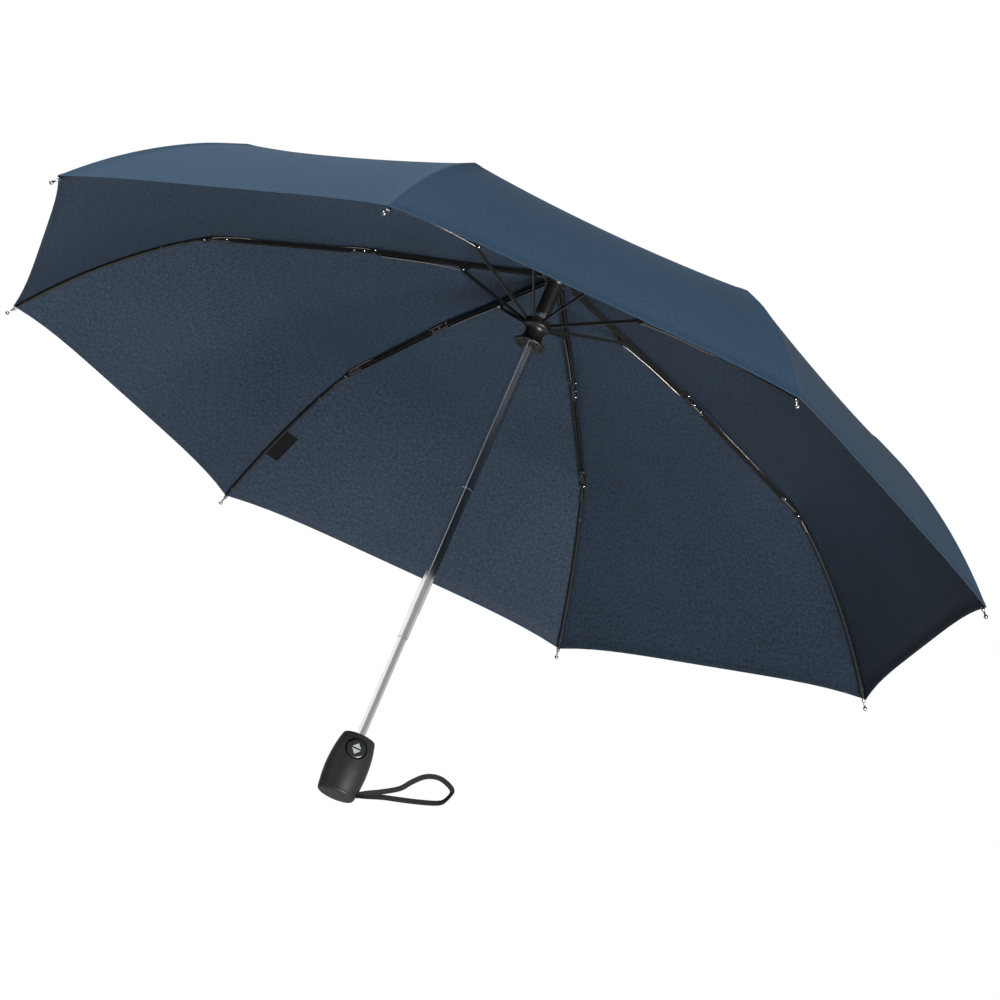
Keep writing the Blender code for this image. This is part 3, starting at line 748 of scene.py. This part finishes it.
def make_label():
    """Blank satin label sewn beside the seam of rib 3, hanging slightly off the fabric."""
    rows, columns = 12, 6
    layers = []
    for thickness in (0.0, LABEL_THICKNESS):
        for i in range(rows + 1):
            for j in range(columns + 1):
                away = LABEL_NEAR + LABEL_WIDTH * j / columns
                run = OUTER_RUN + LABEL_RUN + LABEL_LENGTH * i / rows + 2.0 * MM * j / columns
                share = np.array([[1.0 - away / float(chord(run))]])
                at = np.array([[run]])
                surface = cloth_layer(LABEL_GORE, -1.0)
                normal = slopes(surface, share, at)[0, 0]
                drop = 0.3 * MM + thickness + 2.4 * MM * (j / columns) ** 1.5
                layers.append(Vector(surface(share, at)[0, 0] - normal * drop))
    front, back, edge = double_sheet(rows + 1, columns + 1, True)
    item = make_object("care_label", layers, front + back + edge, [LABEL_BLACK])
    sharpen(item, 40.0)
    unwrap(item, [(j * 2.0 * MM, i * 2.8 * MM) for i in range(rows + 1) for j in range(columns + 1)] * 2)
    carried(item, f"outer_{LABEL_RIB}")
    pleat(item, "outer", LABEL_RIB)


make_label()


# ---- wrist strap

STRAP_EXIT_DEG = -12.9
STRAP_EXIT = (19.6, 7.9)
STRAP_OUT = Vector((0.9045, -0.2069, 0.3729))
STRAP_UP = Vector((-0.4184, -0.2612, 0.8699))
STRAP_SIDE = STRAP_OUT.cross(STRAP_UP)
# The tape from the slot to the loop and back: (out, up, toward the front) in millimetres, roll in degrees.
STRAP_ROUTE = [
    (-2.4, 1.5, 0.2, 60), (2.0, 1.5, 0.3, 50), (9.0, 2.0, 0.5, 22), (22.0, 3.2, 0.6, 10),
    (37.0, 6.0, 0.5, 6), (47.0, 11.5, 0.3, 6), (57.0, 15.8, 0.0, 8), (65.0, 16.6, -0.2, 12),
    (73.0, 14.6, -0.4, 16), (80.0, 9.2, -0.5, 14), (83.4, 4.2, -0.5, 26), (82.0, 0.2, -0.5, 55),
    (77.0, -4.9, -0.4, 50), (72.0, -7.0, -0.2, 30), (62.0, -6.9, 0.0, 16), (47.0, -5.4, 0.0, 10),
    (32.0, -3.4, 0.0, 8), (22.0, -2.0, -0.2, 12), (9.0, -1.3, -0.3, 24), (2.0, -1.2, -0.3, 50),
    (-2.4, -1.2, -0.2, 60),
]
STRAP_WIDTH = 4.8 * MM
STRAP_THICKNESS = 1.0 * MM


def make_strap():
    """Flat woven tape, rolled about its line from the slot to the loop and back."""
    angle = radians(STRAP_EXIT_DEG)
    radius, height = STRAP_EXIT
    start = Vector((radius * cos(angle), radius * sin(angle), height))
    route = smooth_line(STRAP_ROUTE, 6)
    places = [(start + STRAP_OUT * p[0] + STRAP_UP * p[1] + STRAP_SIDE * p[2]) * MM for p in route]
    ups = []
    for i, p in enumerate(route):
        forward = (places[min(i + 1, len(places) - 1)] - places[max(i - 1, 0)]).normalized()
        roll = radians(p[3])
        in_plane = forward.cross(STRAP_SIDE).normalized()
        ups.append(STRAP_SIDE * cos(roll) + in_plane * sin(roll))
    item = swept("strap_webbing", places, flat_section(STRAP_WIDTH, STRAP_THICKNESS, 0.35 * MM), WEBBING, ups)
    carried(item, "strap", "wrist_strap")


make_strap()


# ---- ribs and wires

INNER_SIDE = 1.8 * MM
MIDDLE_SIDE = 1.6 * MM
LINK_RADIUS = 0.55 * MM
LINK_DROP = 2.9 * MM
CLEVIS_SIDE = 2.0 * MM
CLEVIS_HEIGHT = 4.2 * MM
MIDDLE_LINE = -2.2 * MM
WIRE_RADIUS = 1.5 * MM


def along_plane(segment, rib, points):
    """Points of a rib section's plane, (along, normal) or (along, normal, side), in the frame."""
    return [segment.point(rib, *point) for point in points]


def first_link_wire(rib):
    """Control wire under the inner rib, bent down to the stretcher's joint."""
    x, y = INNER.local(STRETCHER_JOINT)
    low = -LINK_DROP - 0.3 * MM
    controls = [
        (x + 3.2 * MM, y - 0.5 * MM), (x + 9.0 * MM, y + 0.4 * MM), (x + 20.0 * MM, y + 1.3 * MM),
        (x + 42.0 * MM, low), (INNER.length - 14.0 * MM, low), (INNER.length - 8.0 * MM, -LINK_DROP),
    ]
    path = along_plane(INNER, rib, smooth_line(controls, 6))
    item = swept(f"link_wire_round_{rib}", path, round_section(LINK_RADIUS, 12), WIRE_STEEL)
    carried(item, f"wire_{rib}", f"link_wire_{rib}")


def second_link_wire(rib):
    """Control wire beside the middle rib, from the knuckle to the outer rib's joint."""
    side = CLEVIS_SIDE + LINK_RADIUS + 0.1 * MM
    end = MIDDLE.length
    controls = [
        (5.0 * MM, -0.6 * MM, side), (12.0 * MM, 0.0, side), (24.0 * MM, 0.15 * MM, side * 0.8),
        (40.0 * MM, 0.15 * MM, 0.0), (end - 56.0 * MM, 0.15 * MM, 0.0),
        (end - 40.0 * MM, 0.1 * MM, side * 0.8), (end - 28.0 * MM, -0.6 * MM, side),
        (end - 14.0 * MM, -1.5 * MM, side), (end - 8.0 * MM, -2.6 * MM, side),
    ]
    path = along_plane(MIDDLE, rib, smooth_line(controls, 6))
    item = swept(f"second_link_{rib}", path, round_section(LINK_RADIUS, 12), WIRE_STEEL)
    carried(item, f"middle_{rib}")


def rivet(centre, axis, reach, radius, material):
    """A pin with a domed head at both ends, across a joint."""
    head = 0.55 * MM
    profile = [(radius * sin(angle), reach + head * cos(angle))
               for angle in np.linspace(0.0, pi / 2, 5)]
    profile.append((radius, reach))
    mirrored = [(r, -z) for r, z in reversed(profile)]
    waist = [(radius * 0.5, reach), (radius * 0.5, -reach)]
    shape = [(r / MM, z / MM) for r, z in profile + waist + mirrored]
    item = turned("rivet", shape, 14, material)
    turn = UP.rotation_difference(axis).to_matrix().to_4x4()
    item.data.transform(Matrix.Translation(centre) @ turn)
    return item


def inner_rivets(rib):
    across = rib_axes(rib)[1]
    lug = INNER.local(STRETCHER_JOINT)
    pins = [
        rivet(INNER.point(rib, lug[0], lug[1]), across, INNER_SIDE + 0.05 * MM, 0.95 * MM, BRIGHT_STEEL),
        rivet(INNER.point(rib, INNER.length, INNER_RISE), across, INNER_SIDE, 1.0 * MM, BRIGHT_STEEL),
    ]
    carried(joined(f"inner_rivets_{rib}", pins), f"inner_{rib}")


def middle_rivet(rib):
    across = rib_axes(rib)[1]
    centre = MIDDLE.point(rib, MIDDLE.length, -MIDDLE_DROP)
    pin = rivet(centre, across, MIDDLE_SIDE, 1.0 * MM, BRIGHT_STEEL)
    pin.name = f"outer_rivet_{rib}"
    carried(pin, f"middle_{rib}")


def clevises(rib):
    """Folded steel sleeves that stiffen both ends of the middle rib."""
    sleeves = []
    section = flat_section(2 * CLEVIS_SIDE, CLEVIS_HEIGHT, 0.7 * MM)
    for start, end in ((7.0 * MM, 23.0 * MM), (MIDDLE.length - 26.0 * MM, MIDDLE.length - 5.0 * MM)):
        path = along_plane(MIDDLE, rib, [(along, MIDDLE_LINE) for along in np.linspace(start, end, 3)])
        sleeves.append(swept("sleeve", path, section, BLACK_STEEL))
    carried(joined(f"rib_clevises_{rib}", sleeves), f"middle_{rib}")
    across = rib_axes(rib)[1]
    pins = []
    for along in (10.0 * MM, 20.0 * MM, MIDDLE.length - 22.0 * MM):
        centre = MIDDLE.point(rib, along, MIDDLE_LINE)
        pins.append(rivet(centre, across, CLEVIS_SIDE, 0.7 * MM, BRIGHT_STEEL))
    carried(joined(f"clevis_rivets_{rib}", pins), f"middle_{rib}")


def outer_sheath(rib):
    """Black coating over the outer wire, from its joint to its tip."""
    path = along_plane(OUTER, rib, [outer_wire(share) for share in np.linspace(0.05, 0.948, 40)])
    carried(swept(f"outer_sheath_{rib}", path, round_section(WIRE_RADIUS, 14), RIB_COATING),
            f"outer_{rib}")


def crimp(rib):
    """Pressed steel sleeve that grips the outer wire at its joint."""
    path = along_plane(OUTER, rib, [outer_wire(share) for share in np.linspace(0.036, 0.092, 7)])
    section = flat_section(3.3 * MM, 3.6 * MM, 0.8 * MM)
    carried(swept(f"outer_crimp_{rib}", path, section, BLACK_STEEL), f"outer_{rib}")


def ring(centre, along, up, wide, tall, thin, material):
    """A small oval loop around a line."""
    side = along.cross(up)
    vertices, faces = [], []
    for i, (x, y) in enumerate(round_section(1.0, 16)):
        offset = side * wide * x + up * tall * y
        out = offset.normalized()
        for j, (away, ahead) in enumerate(round_section(thin, 6)):
            vertices.append(centre + offset + out * away + along * ahead)
            k = (j + 1) % 6
            a, b = i * 6, (i + 1) % 16 * 6
            faces.append((a + j, b + j, b + k, a + k))
    return make_object("ring", vertices, faces, [material])


def ties(rib):
    """Thread whippings that sew the fabric to the outer wire."""
    loops = []
    for share in (0.2, 0.9):
        for step in range(4):
            along, normal = outer_wire(share + step * 0.0035)
            ahead, above = outer_wire(share + step * 0.0035 + 0.01)
            centre = OUTER.point(rib, along, normal + 0.55 * MM)
            forward = (OUTER.point(rib, ahead, above + 0.55 * MM) - centre).normalized()
            up = forward.cross(rib_axes(rib)[1])
            loops.append(ring(centre, forward, up, 1.9 * MM, 2.2 * MM, 0.35 * MM, THREAD))
    carried(joined(f"rib_ties_{rib}", loops), f"outer_{rib}")


def tip(rib):
    """Turned steel tip: a ball, a thin neck and a sleeve over the end of the wire."""
    ball = 2.0
    ahead, behind = outer_wire(1.0), outer_wire(0.95)
    length = dist(ahead, behind) / MM - 0.3
    profile = [(0.0, ball)]
    profile += [(ball * cos(angle), ball * sin(angle))
                for angle in np.radians(range(80, -66, -10))]
    profile += [(0.85, -2.6), (0.8, -5.6), (1.1, -6.1), (1.6, -6.6), (1.7, -7.2), (1.7, -length + 0.3),
                (1.4, -length), (0.0, -length)]
    item = turned(f"turned_tip_{rib}", profile, 24, TIP_STEEL)
    centre = OUTER.point(rib, *ahead)
    forward = (centre - OUTER.point(rib, *behind)).normalized()
    turn = UP.rotation_difference(forward).to_matrix().to_4x4()
    item.data.transform(Matrix.Translation(centre) @ turn)
    carried(item, f"outer_{rib}", f"rib_tip_{rib}")


def make_ribs():
    for rib in range(1, RIBS + 1):
        for part in ("inner_rib", "middle_rib", "outer_rib", "stretcher"):
            dress(f"{part}_{rib}", BLACK_STEEL)
        first_link_wire(rib)
        second_link_wire(rib)
        inner_rivets(rib)
        middle_rivet(rib)
        clevises(rib)
        outer_sheath(rib)
        crimp(rib)
        ties(rib)
        tip(rib)


make_ribs()


# ---- shaft, crown and runner

TUBE_CORNER = 1.0
TUBE_SIDES = 8
# The corner whose faces take the lighter strip of painted highlight.
HIGHLIGHT_CORNER = 5
HIGHLIGHT_FACES = range(HIGHLIGHT_CORNER * 5, HIGHLIGHT_CORNER * 5 + 4)
STRETCHER_OFFSET = 2.7


def eight_sided(corner_radius, fillet):
    """An eight-sided outline with rounded corners and its flats facing along X and Y."""
    flat = corner_radius * cos(pi / TUBE_SIDES)
    points = []
    for i in range(TUBE_SIDES):
        corner = tau * (i + 0.5) / TUBE_SIDES
        centre = (flat - fillet) / cos(pi / TUBE_SIDES)
        for step in range(-2, 3):
            angle = corner + pi / TUBE_SIDES * step / 2
            points.append((centre * cos(corner) + fillet * cos(angle),
                           centre * sin(corner) + fillet * sin(angle)))
    return points


def tube(name, profile, replaced, body):
    """A tube from (corner radius, height) round a closed profile."""
    vertices, faces = [], []
    rings = []
    for radius, height in profile:
        fillet = TUBE_CORNER * radius / 6.3
        outline = eight_sided(radius, fillet)
        rings.append(range(len(vertices), len(vertices) + len(outline)))
        vertices += [(x * MM, y * MM, height * MM) for x, y in outline]
    around = len(rings[0])
    for upper, lower in zip(rings, rings[1:] + rings[:1]):
        for i in range(around):
            j = (i + 1) % around
            faces.append((upper[i], lower[i], lower[j], upper[j]))
    item = make_object(name, vertices, faces, [SHAFT_STEEL, HIGHLIGHT_STRIP_STEEL])
    for face in item.data.polygons:
        face.material_index = 1 if face.index % around in HIGHLIGHT_FACES else 0
    item.data.set_sharp_from_angle(angle=radians(40.0))
    flatten = item.modifiers.new("flats", 'WEIGHTED_NORMAL')
    flatten.keep_sharp = True
    carried(item, body, replaced)


def make_shaft():
    tube("outer_tube", [
        (6.3, 536.0), (6.3, 349.6), (6.02, 348.6), (6.02, 313.5), (5.9, 313.0), (5.78, 313.0),
        (5.78, 348.7), (5.9, 349.5), (5.9, 536.0),
    ], "shaft_outer_tube", "crown")
    tube("middle_tube_round", [
        (5.55, 343.0), (5.55, 185.8), (4.95, 184.3), (4.95, 159.4), (4.8, 159.0), (4.6, 159.0),
        (4.6, 184.5), (5.2, 185.7), (5.2, 343.0),
    ], "shaft_middle_tube", "middle_tube")
    tube("inner_tube_round", [
        (4.25, 189.0), (4.25, 5.0), (3.75, 5.0), (3.75, 189.0),
    ], "shaft_inner_tube", "handle")


def ring_wire(name, radius, height, thickness):
    """A round ring of steel wire, in millimetres."""
    profile = [(radius + x, height + z) for x, z in round_section(thickness, 12)]
    return turned(name, profile, 96, BRIGHT_STEEL, closed=True)


def radial_slots(inner, outer, low, high, half_width, offset):
    cutters = []
    for rib in range(1, RIBS + 1):
        slot = block((inner, offset - half_width, low), (outer, offset + half_width, high))
        slot.data.transform(Matrix.Rotation(FIRST_RIB + (rib - 1) * GORE, 4, 'Z'))
        cutters.append(slot)
    return cutters


def make_crown():
    pivot_r, pivot_z = CROWN_PIVOT[0] / MM, CROWN_PIVOT[1] / MM
    top, floor = pivot_z + 2.9, pivot_z - 2.1
    outline = [
        (6.6, 499.0), (7.3, 499.0), (7.3, floor - 4.0), (9.6, floor), (pivot_r + 2.5, floor),
        (pivot_r + 2.5, top - 0.6), (pivot_r + 1.9, top), (2.5, top), (2.5, 536.3), (6.6, 536.3),
    ]
    hub = turned("crown_hub", rounded(outline, 0.5), 96, BLACK_PLASTIC, closed=True)
    cut(hub, radial_slots(10.5, 20.0, floor - 10.0, top + 5.0, 1.3, 0.0))
    carried(hub, "crown", "crown_notch")
    carried(ring_wire("crown_ring_wire", pivot_r, pivot_z, 0.6), "crown")
    cap_floor = top + 0.3 + 0.6 + 1.9
    dome = [
        (0.0, cap_floor + 4.6), (4.0, cap_floor + 4.4), (8.5, cap_floor + 3.6), (11.0, cap_floor + 2.0),
        (11.6, cap_floor + 0.6), (11.4, cap_floor), (3.4, cap_floor), (3.4, top + 0.3),
        (2.0, top + 0.3), (2.0, 538.5), (0.0, 538.5),
    ]
    cap = turned("crown_cap", rounded(dome, 1.2), 96, BLACK_PLASTIC)
    carried(cap, "crown", "top_cap")


def make_runner():
    pivot_r, pivot_z = RUNNER_PIVOT[0] / MM, RUNNER_PIVOT[1] / MM
    outline = [
        (6.6, 4.6), (6.6, -18.6), (10.6, -19.6), (12.6, -21.6), (13.9, -22.9), (15.2, -22.6),
        (15.5, -21.6), (15.0, -20.6), (11.2, -18.0), (9.3, -14.0), (8.9, -9.5), (9.6, -6.2),
        (12.5, -4.2), (12.9, -3.4), (12.6, -3.0), (12.6, 3.0), (8.2, 3.0), (8.2, 4.6),
    ]
    outline = [(r, z + pivot_z) for r, z in outline]
    spool = turned("runner_spool", rounded(outline, 1.4, 3), 96, BLACK_PLASTIC, closed=True)
    cut(spool, radial_slots(8.35, 20.0, pivot_z - 2.4, pivot_z + 10.0, 0.9, -STRETCHER_OFFSET))
    carried(spool, "runner", "runner")
    wire = ring_wire("runner_ring_wire", hypot(pivot_r, STRETCHER_OFFSET), pivot_z, 0.55)
    carried(wire, "runner")


make_shaft()
make_crown()
make_runner()


# ---- handle and button

BARREL = [
    (13.6, 57.5), (14.9, 57.1), (15.4, 56.2), (16.8, 50.5), (17.9, 45.0), (18.65, 39.4),
    (19.15, 33.9), (19.5, 25.5), (19.35, 19.9), (18.9, 13.0), (18.25, 7.5), (17.75, 3.3),
]
BUTTON_HEIGHT = 42.7
BUTTON_RADIUS = 8.9
GROOVE_RADIUS = 10.2
GROOVE_DEPTH = 2.0
STRAP_SLOT = (3.4, 3.5)


def facing_front(item):
    """Turn a lathed piece from standing along Z to facing -Y at the button's height."""
    turn = Matrix.Rotation(radians(90.0), 4, 'X')
    item.data.transform(Matrix.Translation((0.0, 0.0, BUTTON_HEIGHT * MM)) @ turn)
    return item


def button_bore(radius, end):
    """A cutter along the button's axis, from outside the barrel to some depth behind its face."""
    profile = [(0.0, 24.0), (radius, 24.0), (radius, end), (0.0, end)]
    return facing_front(turned("bore", profile, 96, SOFT_TOUCH))


def groove_floor():
    """The handle's outer form as a closed solid, drawn in by the groove's depth."""
    line = smooth_line([BARREL[0], *BARREL[2:]], 5)
    profile = [(0.0, 57.5)] + [(float(r) - GROOVE_DEPTH, float(z)) for r, z in line] + [(0.0, 3.3)]
    return turned("groove_floor", profile, 160, SOFT_TOUCH)


def make_handle():
    outer = [(float(r), float(z)) for r, z in smooth_line(BARREL[2:], 6)]
    profile = [(4.9, 57.5), (13.4, 57.5), (14.4, 57.35), (15.0, 56.95)] + outer
    profile += [(17.5, 3.05), (15.9, 3.05), (15.9, 5.0), (4.9, 5.0)]
    shell = turned("handle_grip", profile, 160, SOFT_TOUCH, closed=True)
    hole, groove = button_bore(BUTTON_RADIUS + 0.4, 6.0), button_bore(GROOVE_RADIUS, 12.0)
    cut(groove, [groove_floor()])
    half_width, half_height = STRAP_SLOT
    low, high = STRAP_EXIT[1] - half_height, STRAP_EXIT[1] + half_height
    slot = block((10.0, -half_width, low), (30.0, half_width, high))
    bevel = slot.modifiers.new("corners", 'BEVEL')
    bevel.width = 1.2 * MM
    bevel.segments = 4
    slot.data.transform(Matrix.Rotation(radians(STRAP_EXIT_DEG), 4, 'Z'))
    cut(shell, [hole, groove, slot])
    carried(shell, "handle", "handle_shell")
    cap = turned("grip_end_cap", rounded([
        (0.0, 4.6), (15.5, 4.6), (15.5, 3.0), (17.65, 3.0), (17.35, 1.6), (16.5, 0.5), (15.2, 0.0),
        (0.0, 0.0),
    ], 0.6), 160, SOFT_TOUCH)
    carried(cap, "handle", "handle_end_cap")


def arrow(name, points):
    """A printed triangle on the button's face: (x, height) in millimetres."""
    rise = 0.07
    centre = np.mean(points, axis=0)
    vertices, faces = [], []
    corners = [np.array(point) for point in points]
    outline = [a + (b - a) * step / 6
               for a, b in zip(corners, corners[1:] + corners[:1]) for step in range(6)]
    for level in (rise, -0.2):
        for x, z in outline:
            vertices.append((x * MM, -(button_front(x, z) + level) * MM, z * MM))
    vertices.append((centre[0] * MM, -(button_front(*centre) + rise) * MM, centre[1] * MM))
    count = len(outline)
    for i in range(count):
        j = (i + 1) % count
        faces.append((i, j, 2 * count))
        faces.append((i, count + i, count + j, j))
    item = make_object(name, vertices, faces, [PRINT_GREY], smooth=False)
    carried(item, "button")


def button_front(x, z):
    """How far forward the domed face lies at a point on it."""
    away = hypot(x, z - BUTTON_HEIGHT) / 8.0
    return 17.9 - 0.45 * away ** 2


def make_button():
    profile = [(float(r), button_front(float(r), BUTTON_HEIGHT)) for r in range(9)]
    profile += [(8.5, 17.1), (8.8, 16.6), (8.9, 15.9), (8.9, 12.4), (0.0, 12.4)]
    item = facing_front(turned("domed_button", profile, 96, GLOSS_BLACK))
    carried(item, "button", "release_button")
    for name, way in (("arrow_up", 1), ("arrow_down", -1)):
        corners = ((0.0, 5.2), (-4.3, 0.7), (4.3, 0.7))
        arrow(name, [(x * way, BUTTON_HEIGHT + z * way) for x, z in corners])


SPRING_RADIUS = 3.2
SPRING_WIRE = 0.35
SPRING_TURNS = 4
SPRING_FRONT = -11.75
SPRING_BACK = -4.9


def make_spring():
    """Return spring behind the button, carried with the handle."""
    steps = SPRING_TURNS * 20
    points = []
    for i in range(steps + 1):
        angle = tau * SPRING_TURNS * i / steps
        depth = SPRING_FRONT + (SPRING_BACK - SPRING_FRONT) * i / steps
        points.append(Vector((SPRING_RADIUS * cos(angle), depth,
                              SPRING_RADIUS * sin(angle) + BUTTON_HEIGHT)) * MM)
    item = swept("return_spring", points, round_section(SPRING_WIRE * MM, 8), BRIGHT_STEEL)
    carried(item, "handle", "button_spring")
    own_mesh(item)


make_handle()
make_button()
make_spring()


# ---- floor and lights

FLOOR_HEIGHT = -1.65
FLOOR_HALF = 14.0


def make_floor():
    pale = (0.65, 0.65, 0.65)
    material = new_material("floor", pale, 0.9)
    drive(material, "Base Color", ramp(material, noise(material, 1.2, 2.0, 0.5), pale, scaled(pale, 1.046)))
    corners = [(x * FLOOR_HALF, y * FLOOR_HALF, FLOOR_HEIGHT)
               for x, y in ((-1, -1), (1, -1), (1, 1), (-1, 1))]
    item = make_object("floor", corners, [(0, 1, 2, 3)], [material])


def area_light(name, place, target, size, power):
    data = bpy.data.lights.new(name, 'AREA')
    data.shape = 'DISK'
    data.size = size
    data.energy = power
    item = placed(name, data)
    item.location = place
    item.rotation_euler = (Vector(target) - Vector(place)).to_track_quat('-Z', 'Y').to_euler()


WORLD_BASE = 0.20
# Behind, in front, left and right of the umbrella: direction, outer and inner degrees, level.
PATCHES = [
    ((0.0826, 0.9428, 0.3228), 55.0, 12.0, 1.0),
    ((0.08, -0.94, 0.32), 30.0, 18.0, 0.35),
    ((-0.94, -0.08, 0.32), 30.0, 16.0, 1.0),
    ((0.94, 0.08, 0.32), 16.0, 8.0, 0.55),
]


def soft_patch(world, toward, outer_deg, inner_deg, strength):
    """A round patch of the world in one direction, fading out at its edge."""
    facing = add_node(world, "ShaderNodeVectorMath")
    facing.operation = 'DOT_PRODUCT'
    facing.inputs[1].default_value = Vector(toward).normalized()
    link(world, coordinates(world, "Generated"), facing.inputs[0])
    patch = add_node(world, "ShaderNodeMapRange", From_Min=cos(radians(outer_deg)),
                     From_Max=cos(radians(inner_deg)), To_Max=strength)
    patch.interpolation_type = 'SMOOTHSTEP'
    link(world, facing.outputs["Value"], patch.inputs["Value"])
    return patch.outputs["Result"]


def make_world():
    """Even pale studio with the soft patches in it."""
    world = bpy.data.worlds.new("studio")
    bpy.context.scene.world = world
    world.use_nodes = True
    total = WORLD_BASE
    for toward, outer_deg, inner_deg, level in PATCHES:
        patch = soft_patch(world, toward, outer_deg, inner_deg, level - WORLD_BASE)
        total = math_node(world, 'ADD', patch, total)
    sky = world.node_tree.nodes["Background"]
    sky.inputs["Color"].default_value = (1.0, 1.0, 1.0, 1.0)
    link(world, total, sky.inputs["Strength"])


def make_lights():
    area_light("key", (-2.3, -0.65, 2.45), (0.0, 0.0, 0.4), 1.6, 185.0)
    area_light("fill", (1.55, -2.35, -1.05), (0.0, 0.0, 0.35), 1.1, 265.0)


make_floor()
make_world()
make_lights()
